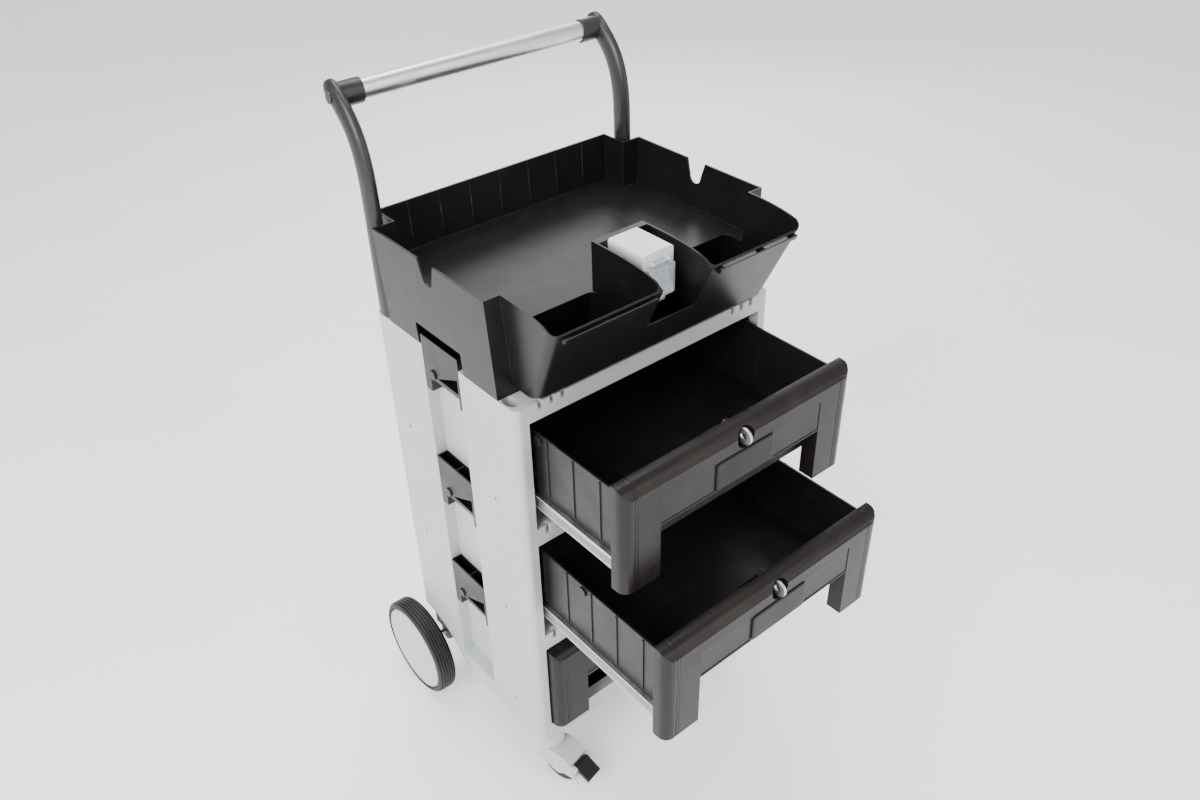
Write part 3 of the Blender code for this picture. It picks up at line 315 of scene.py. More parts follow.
@dataclass(frozen=True)
class WorkedMetal:
    """Drawn, rolled or plated metal with fine marks along its lay and a few stains."""

    name: str
    slot: str
    colour: Colour
    roughness: float
    lay: Lay
    marks: float = 0.00003

    def build(self) -> bpy.types.Material:
        """Make the material.

        Returns:
            The material.
        """
        tree = ShaderTree(self.name)
        lines = tree.noise(1500.0, 3.0, self.lay.value)
        stain = tree.noise(30.0, 4.0).between(0.45, 0.75)
        base = tree.blend(lines.between(0.25, 0.75), scaled(self.colour, 0.84), scaled(self.colour, 1.06))
        base = tree.blend(stain * 0.25, base, scaled(self.colour, 0.72))
        tree.bump(lines, self.marks)
        rough = lines * 0.16 + stain * 0.12 + (self.roughness - 0.08)
        return tree.fill(Base_Color=base, Metallic=1.0, Roughness=rough)


@dataclass(frozen=True)
class Rubber:
    """Black rubber with a fine bloom, scuffs and a little pale dust in its pores."""

    name: str
    slot: str
    colour: Colour
    roughness: float
    dust: Colour = (0.22, 0.21, 0.19)

    def build(self) -> bpy.types.Material:
        """Make the material.

        Returns:
            The material.
        """
        tree = ShaderTree(self.name)
        bloom = tree.noise(18.0, 5.0).between(0.40, 0.75)
        pores = tree.noise(1100.0, 3.0)
        scuff = tree.noise(240.0, 3.0, (0.15, 1.0, 1.0)).between(0.58, 0.74)
        base = tree.blend(bloom * 0.16 + scuff * 0.10, self.colour, self.dust)
        # Edges lightened three-fold: partly scuffed wear, partly a painted edge highlight.
        base = tree.blend(tree.edges() * 0.35, base, scaled(self.colour, 3.0))
        tree.bump(pores * 0.6 + scuff * 0.4, 0.00012)
        return tree.fill(Base_Color=base, Roughness=bloom * 0.15 + (self.roughness - 0.05) + scuff * 0.05)


@dataclass(frozen=True)
class ClearPlastic:
    """Clear tinted plastic with faint moulding waves and fingerprints."""

    name: str
    slot: str
    colour: Colour

    def build(self) -> bpy.types.Material:
        """Make the material.

        Returns:
            The material.
        """
        tree = ShaderTree(self.name)
        wave = tree.noise(45.0, 2.0)
        print_marks = tree.noise(120.0, 4.0).between(0.55, 0.75)
        base = tree.blend(wave.between(0.3, 0.7), self.colour, scaled(self.colour, 1.12))
        tree.bump(wave, 0.00015)
        tree.fill(Transmission_Weight=0.82, IOR=1.49)
        return tree.fill(Base_Color=base, Roughness=print_marks * 0.18 + 0.04)


GREY_BODY = MouldedPlastic(
    "grey_body", "grey_body", (0.53, 0.565, 0.535), 0.36,
    grain_depth=0.00004, mottle=0.025, edge_wear_and_highlight_lift=1.15, edge_wear_and_highlight_share=0.4,
    haze=(0.55, 0.53, 0.48), haze_share=0.08)
BLACK_TRAY = MouldedPlastic(
    "black_tray", "black_tray", (0.0060, 0.0060, 0.0068), 0.36,
    grain_depth=0.00008, mottle=0.15, edge_wear_and_highlight_lift=12.0, edge_wear_and_highlight_share=0.9,
    haze=(0.030, 0.030, 0.033), haze_share=0.14, smudges=0.04, specular=0.40)
CHARCOAL = MouldedPlastic(
    "charcoal_drawer", "charcoal_drawer", (0.0105, 0.0100, 0.0100), 0.34,
    grain_depth=0.00006, mottle=0.15, edge_wear_and_highlight_lift=7.0, edge_wear_and_highlight_share=0.6,
    haze=(0.05, 0.046, 0.044), haze_share=0.14, specular=0.32)
FRONT_PLASTIC = MouldedPlastic(
    "charcoal_front", "charcoal_drawer", (0.0120, 0.0100, 0.0096), 0.30,
    grain_depth=0.00004, mottle=0.06, edge_wear_and_highlight_lift=2.4, edge_wear_and_highlight_share=0.25,
    haze=(0.060, 0.050, 0.047), haze_share=0.06, streaks=0.14, smudges=0.06, specular=0.26)
DARK_TRIM = MouldedPlastic(
    "dark_trim", "dark_trim", (0.0055, 0.0055, 0.0060), 0.38,
    grain_depth=0.00007, mottle=0.15, edge_wear_and_highlight_lift=9.0, edge_wear_and_highlight_share=0.5,
    haze=(0.03, 0.03, 0.03), haze_share=0.15)
ARM_PLASTIC = MouldedPlastic(
    "handle_arm", "handle_arm", (0.0165, 0.0175, 0.0205), 0.34,
    grain_depth=0.00008, mottle=0.12, edge_wear_and_highlight_lift=5.0, edge_wear_and_highlight_share=0.5,
    haze=(0.06, 0.06, 0.065), haze_share=0.2)
WHITE_PLASTIC = MouldedPlastic(
    "white_housing", "white_housing", (0.72, 0.72, 0.72), 0.30,
    grain_depth=0.00003, mottle=0.02, edge_wear_and_highlight_lift=1.1, edge_wear_and_highlight_share=0.3, coat=0.15)
CASTER_GREY = MouldedPlastic(
    "caster_grey", "caster_grey", (0.56, 0.585, 0.575), 0.32,
    grain_depth=0.00004, mottle=0.03, edge_wear_and_highlight_lift=1.15, edge_wear_and_highlight_share=0.4,
    haze=(0.40, 0.38, 0.34), haze_share=0.15)
PLATE_PLASTIC = MouldedPlastic(
    "nameplate_black", "dark_trim", (0.0075, 0.0062, 0.0060), 0.34,
    grain_depth=0.00002, mottle=0.1, edge_wear_and_highlight_lift=5.0, edge_wear_and_highlight_share=0.5, coat=0.05, specular=0.22)
BAR_METAL = WorkedMetal("aluminium_bar", "aluminium_bar", (0.80, 0.815, 0.84), 0.30, Lay.ALONG_X)
RUNNER_METAL = WorkedMetal("runner_steel", "runner_steel", (0.86, 0.865, 0.87), 0.28, Lay.ALONG_Y)
LOCK_METAL = WorkedMetal("lock_metal", "lock_metal", (0.82, 0.82, 0.80), 0.40, Lay.ROUND_X)
SCREW_METAL = WorkedMetal("screw_steel", "runner_steel", (0.42, 0.42, 0.41), 0.34, Lay.ROUND_X)
TYRE = Rubber("tyre_rubber", "tyre_rubber", (0.0070, 0.0070, 0.0074), 0.55, (0.08, 0.078, 0.072))
CLEAR = ClearPlastic("clear_lid", "clear_lid", (0.80, 0.84, 0.97))

Finish = Union[MouldedPlastic, WorkedMetal, Rubber, ClearPlastic]


class PaintShop:
    """Makes each finish once and hands out its material."""

    def __init__(self) -> None:
        """Start with nothing mixed."""
        self.mixed: dict[str, bpy.types.Material] = {}

    def dress(self, piece: bpy.types.Object, finish: Finish) -> None:
        """Give a piece one finish all over.

        Args:
            piece: The piece.
            finish: Its finish.
        """
        if finish.name not in self.mixed:
            self.mixed[finish.name] = finish.build()
        piece.data.materials.clear()
        piece.data.materials.append(self.mixed[finish.name])


SHOP = PaintShop()


# ------------------------------------------------------------------ meshes


def grid_faces(rows: int, columns: int, closed_rows: bool, closed_columns: bool) -> np.ndarray:
    """Quads of a grid of points numbered row by row.

    Each quad joins a point to its neighbours one row and one column on; a closed direction wraps round.

    Args:
        rows: Number of rows.
        columns: Number of points in a row.
        closed_rows: Whether the last row joins the first.
        closed_columns: Whether the last column joins the first.

    Returns:
        One row of four point numbers for each quad.
    """
    row = np.arange(rows if closed_rows else rows - 1)[:, None]
    column = np.arange(columns if closed_columns else columns - 1)[None, :]
    above, beside = (row + 1) % rows, (column + 1) % columns
    corners = (row * columns + column, row * columns + beside,
               above * columns + beside, above * columns + column)
    spread = [np.broadcast_to(corner, (row.size, column.size)) for corner in corners]
    return np.stack(spread, axis=-1).reshape(-1, 4)


def mesh_piece(name: str, points: np.ndarray, faces: Sequence[Sequence[int]],
               sharp: float = SHARP_DEGREES) -> bpy.types.Object:
    """An object from points and faces, with its faces turned outwards and its round parts smooth.

    Args:
        name: The piece's name.
        points: Point positions, one row each.
        faces: Point numbers of each face.
        sharp: The angle in degrees from which an edge stays sharp.

    Returns:
        The object, at the origin.
    """
    mesh = bpy.data.meshes.new(name)
    places = np.asarray(points, float).reshape(-1, 3).tolist()
    mesh.from_pydata(places, [], [list(map(int, face)) for face in faces])
    work = bmesh.new()
    work.from_mesh(mesh)
    bmesh.ops.remove_doubles(work, verts=work.verts, dist=MESH_WELD)
    bmesh.ops.recalc_face_normals(work, faces=work.faces)
    work.to_mesh(mesh)
    work.free()
    mesh.shade_smooth()
    mesh.set_sharp_from_angle(angle=math.radians(sharp))
    piece = bpy.data.objects.new(name, mesh)
    bpy.context.collection.objects.link(piece)
    return piece


def ring_grid(name: str, rings: np.ndarray, closed: bool = False,
              sharp: float = SHARP_DEGREES) -> bpy.types.Object:
    """A skin over rings of points, capped with one face at each end unless the rows close on themselves.

    Args:
        name: The piece's name.
        rings: Points as rings x points x 3.
        closed: Whether the last ring joins the first.
        sharp: The angle in degrees from which an edge stays sharp.

    Returns:
        The object.
    """
    rows, columns, _ = rings.shape
    faces = grid_faces(rows, columns, closed, True).tolist()
    if not closed:
        faces.append(list(range(columns)))
        faces.append(list(range((rows - 1) * columns, rows * columns)))
    return mesh_piece(name, rings.reshape(-1, 3), faces, sharp)


def revolved(name: str, profile: Sequence[tuple[float, float]], centre: Sequence[float],
             axis: Sequence[float], count: int = 96, closed: bool = True,
             sharp: float = SHARP_DEGREES) -> bpy.types.Object:
    """A profile turned about an axis: each point goes round a circle of its own radius at its own height.

    Args:
        name: The piece's name.
        profile: Points of radius and height along the axis.
        centre: Where the axis starts.
        axis: Its direction.
        count: Points round the circle.
        closed: Whether the profile is a loop clear of the axis; otherwise its ends are capped.
        sharp: The angle in degrees from which an edge stays sharp.

    Returns:
        The object.
    """
    outline = np.asarray(profile, float)
    angle = np.linspace(0.0, 2.0 * math.pi, count, endpoint=False)
    local = np.stack([outline[:, :1] * np.cos(angle), outline[:, :1] * np.sin(angle),
                      np.broadcast_to(outline[:, 1:], (len(outline), count))], axis=-1)
    turn = np.array(Vector((0, 0, 1)).rotation_difference(Vector(axis)).to_matrix())
    return ring_grid(name, local @ turn.T + np.asarray(centre, float), closed, sharp)


def oval(half_u: float, half_v: float, count: int, power: float = 2.0) -> np.ndarray:
    """Points of a rounded outline.

    They are the half sizes times cosine and sine, each raised to 2 / power with its sign kept.

    Args:
        half_u: Half the width.
        half_v: Half the height.
        count: Points round the outline.
        power: 2 for an ellipse, and higher for a squarer outline.

    Returns:
        One row of two coordinates for each point.
    """
    angle = np.linspace(0.0, 2.0 * math.pi, count, endpoint=False)
    circle = np.stack([np.cos(angle), np.sin(angle)], axis=-1)
    return np.sign(circle) * np.abs(circle) ** (2.0 / power) * (half_u, half_v)


def block(name: str, low: Sequence[float], high: Sequence[float]) -> bpy.types.Object:
    """A rectangular block to cut with.

    Args:
        name: The block's name.
        low: Its lowest corner.
        high: Its highest corner.

    Returns:
        The object.
    """
    corners = np.array([[(low, high)[k][0], (low, high)[j][1], (low, high)[i][2]]
                        for i in (0, 1) for j in (0, 1) for k in (0, 1)])
    faces = ((0, 1, 3, 2), (4, 5, 7, 6), (0, 1, 5, 4), (2, 3, 7, 6), (0, 2, 6, 4), (1, 3, 7, 5))
    return mesh_piece(name, corners, faces)


def joined(name: str, members: Sequence[bpy.types.Object]) -> bpy.types.Object:
    """Several separate shells as one piece.

    Args:
        name: The piece's name.
        members: The shells, which are used up.

    Returns:
        The object.
    """
    work = bmesh.new()
    for member in members:
        work.from_mesh(member.data)
        bpy.data.objects.remove(member)
    mesh = bpy.data.meshes.new(name)
    work.to_mesh(mesh)
    work.free()
    piece = bpy.data.objects.new(name, mesh)
    bpy.context.collection.objects.link(piece)
    return piece


def softened(node: str, width: float, segments: int = 2, cutters: Sequence[bpy.types.Object] = (),
             angle: float = 32.0) -> bpy.types.Object:
    """A copy of a CAD node with its flat faces merged, its edges rounded and fine details cut into it.

    Args:
        node: The node to copy.
        width: How far the rounding reaches from each edge.
        segments: Faces across the rounding.
        cutters: Shapes to cut away once the edges are round.
        angle: The angle in degrees from which an edge is rounded.

    Returns:
        The object, named after the node.
    """
    work = bmesh.new()
    work.from_mesh(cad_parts[node].data)
    bmesh.ops.remove_doubles(work, verts=work.verts, dist=CAD_WELD)
    flat = math.radians(FLAT_DEGREES)
    bmesh.ops.dissolve_limit(work, angle_limit=flat, verts=work.verts, edges=work.edges)
    mesh = bpy.data.meshes.new(node + "_soft")
    work.to_mesh(mesh)
    work.free()
    piece = bpy.data.objects.new(node + "_finished", mesh)
    bpy.context.collection.objects.link(piece)
    rounding = piece.modifiers.new("rounding", "BEVEL")
    rounding.width = width
    rounding.segments = segments
    rounding.limit_method = "ANGLE"
    rounding.angle_limit = math.radians(angle)
    rounding.use_clamp_overlap = True
    for cutter in cutters:
        detail = piece.modifiers.new("detail", "BOOLEAN")
        detail.operation = "DIFFERENCE"
        detail.solver = "EXACT"
        detail.object = cutter
    smooth = piece.modifiers.new("shading", "WEIGHTED_NORMAL")
    smooth.keep_sharp = False
    mesh.shade_smooth()
    graph = bpy.context.evaluated_depsgraph_get()
    final = bpy.data.meshes.new_from_object(piece.evaluated_get(graph))
    piece.modifiers.clear()
    piece.data = final
    for cutter in cutters:
        bpy.data.objects.remove(cutter)
    return piece


def fit(piece: bpy.types.Object, body: str, finish: Finish, *nodes: str) -> bpy.types.Object:
    """Dress a piece, let it ride on its body and let it stand for CAD nodes.

    Args:
        piece: The finished piece.
        body: The CAD body that carries it.
        finish: Its finish.
        nodes: CAD nodes that it stands for.

    Returns:
        The piece.
    """
    SHOP.dress(piece, finish)
    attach(piece, body)
    if nodes:
        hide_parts(*nodes)
    log.info("%s: %d faces, %s, on %s", piece.name, len(piece.data.polygons), finish.name, body)
    return piece


# ------------------------------------------------------------------ sub-assemblies


@dataclass
class Cabinet:
    """The three body modules, the black base and the six side brackets."""

    module_edge: float = 0.0011
    bracket_edge: float = 0.0005
    base_edge: float = 0.0008
    screw_radius: float = 0.0034
    screw_from_front: tuple[float, float] = (0.073, 0.323)
    screw_rise: float = 0.034
    screw_points: int = 20
    front_above_module: float = 0.0125
    panel_half: float = 0.212
    panel_inset: float = 0.030
    panel_lowest: float = 0.152
    panel_depth: float = 0.0014
    panel_ribs: int = 2
    panel_gap: float = 0.010
    panel_power: float = 14.0
    panel_points: int = 48
    panel_overrun: float = 0.01

    def build(self) -> None:
        """Finish the modules, the base and the brackets."""
        for level in LEVELS:
            node = "body_module_" + level
            fit(softened(node, self.module_edge, 2, self.rear_panels(node)), "trolley", GREY_BODY, node)
        fit(softened("chassis", self.base_edge), "trolley", DARK_TRIM, "chassis")
        for _, word in SIDES:
            for level in LEVELS:
                node = "side_bracket_%s_%s" % (word, level)
                fit(softened(node, self.bracket_edge), "trolley", DARK_TRIM, node)
        for side, word in SIDES:
            fit(self.screws(side, word), "trolley", SCREW_METAL)

    def rear_panels(self, node: str) -> list[bpy.types.Object]:
        """Shallow round-cornered panels sunk side by side into a module's rear wall, with ribs between.

        Args:
            node: The module.

        Returns:
            The cutters.
        """
        low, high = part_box(node)
        base, top = max(low.z, self.panel_lowest) + self.panel_inset, high.z - self.panel_inset
        share = 2.0 * self.panel_half / (self.panel_ribs + 1)
        made = []
        for panel in range(self.panel_ribs + 1):
            centre = (-self.panel_half + share * (panel + 0.5), (base + top) / 2)
            half = ((share - self.panel_gap) / 2, (top - base) / 2)
            outline = oval(*half, self.panel_points, self.panel_power) + centre
            rings = [np.column_stack([outline[:, 0], np.full(len(outline), y), outline[:, 1]])
                     for y in (high.y - self.panel_depth, high.y + self.panel_overrun)]
            made.append(ring_grid("panel", np.array(rings)))
        return made

    def screws(self, side: int, word: str) -> bpy.types.Object:
        """The small domed screws of the drawers' runners, two through each module's wall on one side.

        Args:
            side: -1 for the left, 1 for the right.
            word: The side's name.

        Returns:
            One piece with all of them.
        """
        r = self.screw_radius
        profile = [(0.0004, -0.0010), (r, -0.0010), (r, 0.0003), (r * 0.86, 0.0007), (r * 0.45, 0.0009),
                   (r * 0.40, 0.0002), (0.0004, 0.0001)]
        heads = []
        for level in LEVELS:
            low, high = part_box("body_module_" + level)
            wall = high.x if side > 0 else low.x
            for ahead in self.screw_from_front:
                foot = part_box("drawer_%s_front" % level)[0].z - self.front_above_module
                centre = (wall, low.y + ahead, max(low.z, foot) + self.screw_rise)
                head = revolved("head", profile, centre, (side, 0, 0), self.screw_points, closed=False)
                heads.append(head)
        return joined("runner_screws_" + word, heads)


@dataclass
class Tray:
    """The black top tray with its label rails."""

    edge: float = 0.0008
    rail_edge: float = 0.0006
    wall: float = 0.003
    lean: float = 0.009
    overrun: float = 0.01
    seam_foot: float = 0.52
    seam_depth: float = 0.0006
    seam_width: float = 0.0012
    seam_x: tuple[float, ...] = (-0.176, -0.118, -0.059, 0.0, 0.059, 0.118, 0.176)

    def seams(self) -> list[bpy.types.Object]:
        """Fine upright lines sunk into the inner face of the leaning rear wall.

        Returns:
            The cutters.
        """
        low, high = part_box("top_tray")
        foot_z = low.z + (high.z - low.z) * self.seam_foot
        made = []
        for x in self.seam_x:
            rings = []
            foot = (foot_z, high.y - self.wall - self.lean * 0.5)
            for z, y in (foot, (high.z + self.overrun, high.y - self.wall)):
                near, far = y - self.overrun, y + self.seam_depth
                half = self.seam_width / 2
                rings.append([(x - half, near, z), (x + half, near, z),
                              (x + half, far, z), (x - half, far, z)])
            made.append(ring_grid("seam", np.array(rings)))
        return made

    def build(self) -> None:
        """Finish the tray and its rails."""
        fit(softened("top_tray", self.edge, 2, self.seams()), "trolley", BLACK_TRAY, "top_tray")
        for _, word in SIDES:
            node = "bin_label_rail_" + word
            fit(softened(node, self.rail_edge), "trolley", BLACK_TRAY, node)


@dataclass
class SocketBox:
    """The white socket box with its clear lid."""

    edge: float = 0.0010
    outlet_edge: float = 0.0005
    hinge_edge: float = 0.0003
    lid_edge: float = 0.0005

    def build(self) -> None:
        """Finish the box, the outlet, the hinge and the lid."""
        for node, edge in (("socket_housing", self.edge), ("socket_cover", self.edge),
                           ("socket_outlet", self.outlet_edge), ("socket_hinge", self.hinge_edge)):
            fit(softened(node, edge), "trolley", WHITE_PLASTIC, node)
        fit(softened("socket_lid", self.lid_edge), "socket_lid", CLEAR, "socket_lid")


@dataclass
class Drawer:
    """One drawer: its box, front, plate, runners, lock and key."""

    level: str
    box_edge: float = 0.0006
    front_edge: float = 0.0010
    plate_edge: float = 0.0005
    runner_edge: float = 0.0003
    lock_edge: float = 0.0004
    key_edge: float = 0.0011
    band_half: float = 0.1645
    band_depth: float = 0.0011
    band_gap: float = 0.0012
    band_foot: float = 0.0015
    band_head: float = 0.0020
    band_overrun: float = 0.02
    groove_x: tuple[float, float] = (0.2075, 0.2125)
    groove_width: float = 0.0010
    groove_depth: float = 0.0007
    groove_overrun: float = 8.0
    groove_tail: float = 0.01
    groove_points: int = 9
    crown_reach: float = 0.022
    crown_drop: float = 0.026
    crown_back: float = 0.035

    def cutters(self) -> list[bpy.types.Object]:
        """Shapes cut into the front: the sunk band between the legs and two fine grooves on each leg.

        Returns:
            The cutters.
        """
        low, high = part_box("drawer_%s_front" % self.level)
        plate_low, plate_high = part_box("drawer_%s_nameplate" % self.level)
        face = low.y
        inner = plate_high.x + self.band_gap
        made = []
        for side, _ in SIDES:
            ends = sorted((side * inner, side * self.band_half))
            made.append(block("band", (ends[0], face - self.band_overrun, plate_low.z + self.band_foot),
                              (ends[1], face + self.band_depth, plate_high.z + self.band_head)))
            for x in self.groove_x:
                made.append(self.groove(side * x, face, low.z, high.z))
        return made

    def groove(self, x: float, face: float, low: float, high: float) -> bpy.types.Object:
        """A groove that runs up a leg and on over the crown, whose section is a quarter ellipse.

        Its square section is carried along that path, each corner at its own distance along the normal.

        Args:
            x: Where the groove stands across the front.
            face: The front's outer face.
            low: The front's foot.
            high: The crown's top.

        Returns:
            The cutter.
        """
        angle = np.linspace(0.0, math.pi / 2, self.groove_points)
        crown_y = face + self.crown_reach * (1.0 - np.cos(angle))
        crown_z = high - self.crown_drop * (1.0 - np.sin(angle))
        path = np.concatenate([[[face, low - self.groove_tail]], np.column_stack([crown_y, crown_z]),
                               [[face + self.crown_back, high]]])
        normal = [[[1.0, 0.0]], np.column_stack([np.cos(angle), -np.sin(angle)]), [[0.0, -1.0]]]
        inward = self.groove_depth * np.concatenate(normal)
        outward = -self.groove_overrun * inward
        half = self.groove_width / 2
        corners = [(x - half, path + outward), (x + half, path + outward),
                   (x + half, path + inward), (x - half, path + inward)]
        lines = [np.column_stack([np.full(len(path), place), line]) for place, line in corners]
        rings = np.stack(lines, axis=1)
        return ring_grid("groove", rings)

    def build(self) -> None:
        """Finish every piece of the drawer."""
        body, stem = "drawer_" + self.level, "drawer_%s_" % self.level
        fit(softened(stem + "box", self.box_edge), body, CHARCOAL, stem + "box")
        front = softened(stem + "front", self.front_edge, 3, self.cutters())
        fit(front, body, FRONT_PLASTIC, stem + "front")
        fit(softened(stem + "nameplate", self.plate_edge), body, PLATE_PLASTIC, stem + "nameplate")
        for _, word in SIDES:
            runner = softened(stem + "runner_" + word, self.runner_edge)
            fit(runner, body, RUNNER_METAL, stem + "runner_" + word)
        fit(softened(stem + "lock", self.lock_edge), "lock_" + self.level, DARK_TRIM, stem + "lock")
        fit(softened(stem + "key", self.key_edge, 3), "lock_" + self.level, LOCK_METAL, stem + "key")


@dataclass
class PushHandle:
    """The two swept arms with their sleeves, and the grip bar between them."""

    arm_edge: float = 0.0006
    arm_rounded_from: float = 50.0
    bar_wall: float = 0.002
    bar_points: int = 72

    def build(self) -> None:
        """Finish the arms and the bar."""
        for _, word in SIDES:
            arm = softened("handle_arm_" + word, self.arm_edge, angle=self.arm_rounded_from)
            fit(arm, "trolley", ARM_PLASTIC, "handle_arm_" + word)
        self.bar()

    def bar(self) -> None:
        """The grip tube: an oval carried straight along x, with a wall inside it."""
        low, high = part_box("handle_bar")
        half = (high - low) / 2
        centre = (low + high) / 2
        rings = []
        for x, inset in ((-half.x, 0.0), (half.x, 0.0), (half.x, self.bar_wall), (-half.x, self.bar_wall)):
            section = oval(half.y - inset, half.z - inset, self.bar_points)
            line = np.full(self.bar_points, x)
            rings.append(np.column_stack([line, centre.y + section[:, 0], centre.z + section[:, 1]]))
        tube = ring_grid("handle_bar_finished", np.array(rings), closed=True)
        fit(tube, "trolley", BAR_METAL, "handle_bar")


@dataclass
class RearWheel:
    """A large rear wheel: grooved tyre, rim and domed cap."""

    side: int
    word: str
    around: int = 128
    rim_edge: float = 0.0006
    bore: float = 0.0882
    tread_points: int = 121
    tread_width: float = 0.985
    shoulder_drop: float = 0.0075
    shoulder_power: int = 7
    grooves: int = 5
    groove_depth: float = 0.0022
    groove_span: float = 1.50
    groove_share: float = 0.14
    groove_limit: float = 0.82
    cap_points: int = 26
    cap_eye: float = 0.002

    def build(self) -> None:
        """Finish the tyre, the rim and the cap."""
        body = "rear_wheel_" + self.word
        low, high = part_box("rear_tyre_" + self.word)
        centre = (low + high) / 2
        radius, half = (high.z - low.z) / 2, (high.x - low.x) / 2
        tyre = revolved("rear_tyre_%s_finished" % self.word, self.tyre_profile(radius, half), centre,
                        (1, 0, 0), self.around)
        fit(tyre, body, TYRE, "rear_tyre_" + self.word)
        fit(softened("rear_rim_" + self.word, self.rim_edge), body, GREY_BODY, "rear_rim_" + self.word)
        cap_low, cap_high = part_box("rear_wheel_cap_" + self.word)
        near = cap_low.x if self.side > 0 else cap_high.x
        reach = cap_high.x - cap_low.x
        cap_radius = (cap_high.z - cap_low.z) / 2
        cap = revolved("rear_wheel_cap_%s_finished" % self.word, self.cap_profile(cap_radius, reach),
                       (near, centre.y, centre.z), (self.side, 0, 0), self.around, closed=False)
        fit(cap, body, CASTER_GREY, "rear_wheel_cap_" + self.word)

    def tyre_profile(self, radius: float, half: float) -> list[tuple[float, float]]:
        """The tyre's section: rounded shoulders, side rings and square tread grooves.

        The tread's radius falls from its middle to its shoulders as a power of the share of the half width.
        A groove is cut wherever the share lies close to a whole number of groove pitches.

        Args:
            radius: The tyre's outer radius.
            half: Half its width.

        Returns:
            Points of radius and place across the width.
        """
        share = np.linspace(-1.0, 1.0, self.tread_points)
        tread = radius - self.shoulder_drop * np.abs(share) ** self.shoulder_power
        turns = (share + self.groove_span / 2) / (self.groove_span / self.grooves)
        cut = (np.abs(turns - np.round(turns)) < self.groove_share) & (np.abs(share) < self.groove_limit)
        tread = tread - np.where(cut, self.groove_depth, 0.0)
        outer = list(zip(tread, share * half * self.tread_width))
        wall = [(radius - 0.0095, half * 0.997), (self.bore + 0.0035, half * 0.985),
                (self.bore + 0.0020, half - 0.0030), (self.bore, half - 0.0040)]
        return [(r, -h) for r, h in reversed(wall)] + outer + wall

    def cap_profile(self, radius: float, reach: float) -> list[tuple[float, float]]:
        """The domed cap's section: a rim bead, a shallow ring and a dome.

        The dome's radius follows a cosine, and its height a sine raised to a power just above one.

        Args:
            radius: The cap's radius.
            reach: How far it stands out.

        Returns:
            Points of radius and height.
        """
        angle = np.linspace(0.0, math.pi / 2, self.cap_points)
        dome = [(radius * 0.955 * math.cos(a), reach * (0.42 + 0.57 * math.sin(a) ** 1.2))
                for a in angle[:-1]]
        rim = [(self.cap_eye, 0.0), (radius, 0.0), (radius, reach * 0.34), (radius * 0.992, reach * 0.44),
               (radius * 0.975, reach * 0.44), (radius * 0.968, reach * 0.36), (radius * 0.960, reach * 0.36)]
        return rim + dome + [(self.cap_eye, reach * 0.99)]


@dataclass
class Caster:
    """A front caster: mount, hooded fork, wheel, axle and brake pedal."""

    word: str
    mount_edge: float = 0.0006
    fork_edge: float = 0.0012
    axle_edge: float = 0.0004
    wheel_edge: float = 0.0008
    pedal_edge: float = 0.0008

    def build(self) -> None:
        """Finish every piece of the caster."""
        body = "caster_" + self.word
        mount, fork = "caster_mount_" + self.word, "caster_fork_" + self.word
        axle, wheel = "caster_axle_" + self.word, "caster_wheel_" + self.word
        pedal = "caster_pedal_" + self.word
        fit(softened(mount, self.mount_edge), "trolley", CASTER_GREY, mount)
        fit(softened(fork, self.fork_edge, 3), body, CASTER_GREY, fork)
        fit(softened(axle, self.axle_edge), body, LOCK_METAL, axle)
        fit(softened(wheel, self.wheel_edge), body + "_wheel", TYRE, wheel)
        fit(softened(pedal, self.pedal_edge), body + "_pedal", DARK_TRIM, pedal)


@dataclass(frozen=True)
class Lamp:
    """A square soft light."""

    name: str
    place: tuple[float, float, float]
    power: float
    size: float
    colour: Colour
    target: tuple[float, float, float] = (0.0, 0.0, 0.6)

    def build(self) -> None:
        """Hang the light so that it faces the trolley."""
        light = bpy.data.lights.new(self.name, "AREA")
        light.energy = self.power
        light.size = self.size
        light.color = self.colour
        holder = bpy.data.objects.new(self.name, light)
        bpy.context.collection.objects.link(holder)
        holder.location = self.place
        aim = Vector(self.target) - Vector(self.place)
        holder.rotation_euler = aim.to_track_quat("-Z", "Y").to_euler()


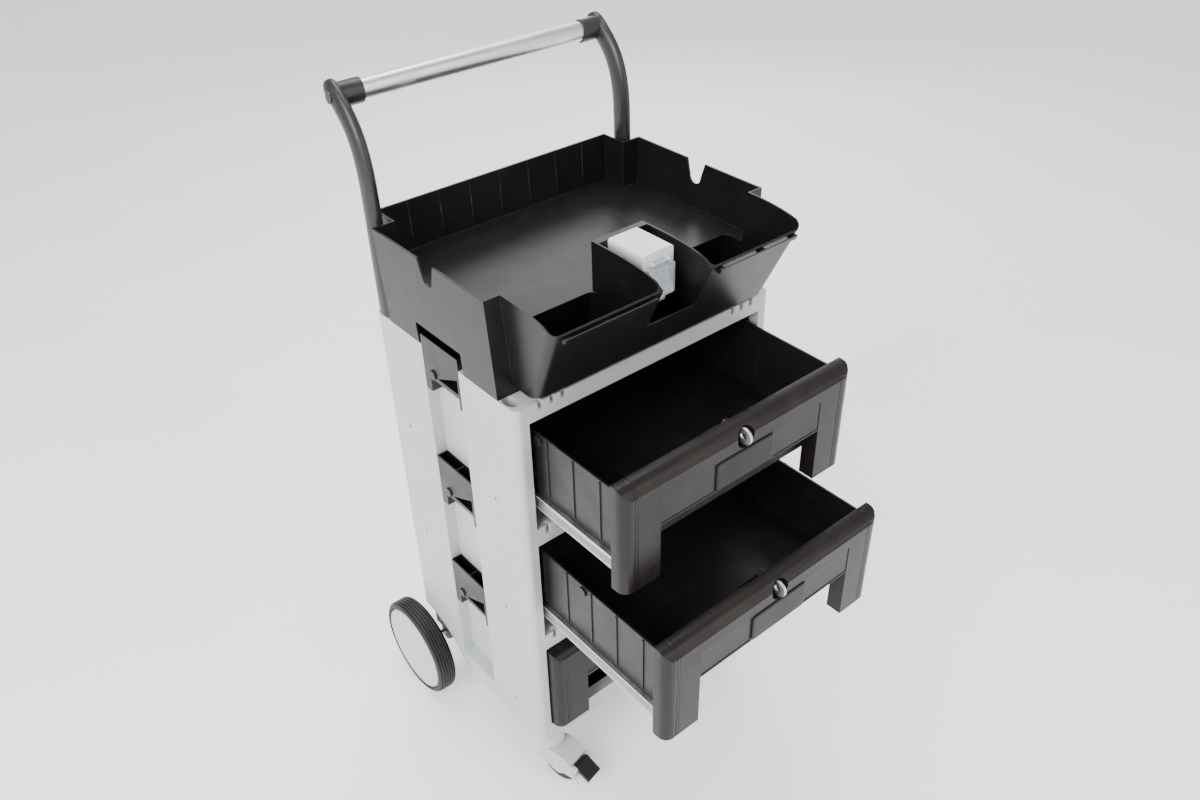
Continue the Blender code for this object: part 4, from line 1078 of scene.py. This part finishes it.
@dataclass
class Studio:
    """A pale floor, soft lights and the camera."""

    lens: float = 31.571
    eye: tuple[float, float, float] = (-0.91294, -1.07910, 1.73290)
    right: tuple[float, float, float] = (0.7673, -0.6409, -0.0207)
    up: tuple[float, float, float] = (0.3857, 0.4355, 0.8134)
    sensor: float = 36.0
    sky: float = 0.75
    floor_half: float = 30.0
    floor_points: int = 13
    floor_height: float = -0.0005
    floor_glow: float = 0.55
    lamps: tuple[Lamp, ...] = (
        Lamp("key", (-3.0, -0.9, 2.6), 150.0, 2.2, (0.97, 1.0, 0.97)),
        Lamp("front", (0.9, -3.2, 1.9), 34.0, 2.4, (1.0, 0.92, 0.86)),
        Lamp("top", (0.2, 0.6, 3.4), 70.0, 2.0, (1.0, 1.0, 1.0)),
        Lamp("back", (2.4, 2.4, 2.2), 45.0, 2.4, (0.98, 0.99, 1.0)),
    )

    def build(self) -> None:
        """Make the floor, the lights, the world and the camera."""
        self.floor()
        for lamp in self.lamps:
            lamp.build()
        world = bpy.data.worlds.new("studio")
        bpy.context.scene.world = world
        world.use_nodes = True
        background = world.node_tree.nodes["Background"]
        background.inputs["Color"].default_value = (1.0, 1.0, 1.0, 1.0)
        background.inputs["Strength"].default_value = self.sky
        self.camera()

    def floor(self) -> None:
        """A wide, flat, pale floor."""
        line = np.linspace(-self.floor_half, self.floor_half, self.floor_points)
        x, y = np.meshgrid(line, line, indexing="ij")
        points = np.stack([x, y, np.full_like(x, self.floor_height)], axis=-1)
        sheet = mesh_piece("floor", points, grid_faces(self.floor_points, self.floor_points, False, False))
        tree = ShaderTree("pale_floor")
        tone = tree.noise(1.5, 3.0).between(0.3, 0.7)
        pale = tree.blend(tone, (0.93, 0.93, 0.93), (0.96, 0.96, 0.96))
        tree.fill(Base_Color=pale, Emission_Color=pale, Emission_Strength=self.floor_glow, Roughness=0.8)
        sheet.data.materials.append(tree.material)

    def camera(self) -> None:
        """The camera, from its place, its right-hand and its upward direction."""
        data = bpy.data.cameras.new("camera")
        data.lens = self.lens
        data.sensor_width = self.sensor
        holder = bpy.data.objects.new("camera", data)
        bpy.context.collection.objects.link(holder)
        right, up = Vector(self.right).normalized(), Vector(self.up)
        back = right.cross(up).normalized()
        up = back.cross(right)
        holder.matrix_world = Matrix.Translation(self.eye) @ Matrix((right, up, back)).transposed().to_4x4()
        bpy.context.scene.camera = holder


def dress_rest() -> None:
    """Give the axle, the one CAD node that still shows, its worked finish."""
    SHOP.dress(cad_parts["rear_axle"], RUNNER_METAL)


def main() -> None:
    """Build every sub-assembly in order."""
    logging.basicConfig(level=logging.INFO, format="%(name)s %(message)s", stream=sys.stdout)
    Cabinet().build()
    Tray().build()
    SocketBox().build()
    for level in LEVELS:
        Drawer(level).build()
    PushHandle().build()
    for side, word in SIDES:
        RearWheel(side, word).build()
        Caster(word).build()
    dress_rest()
    Studio().build()


if __name__ == "__main__":
    main()
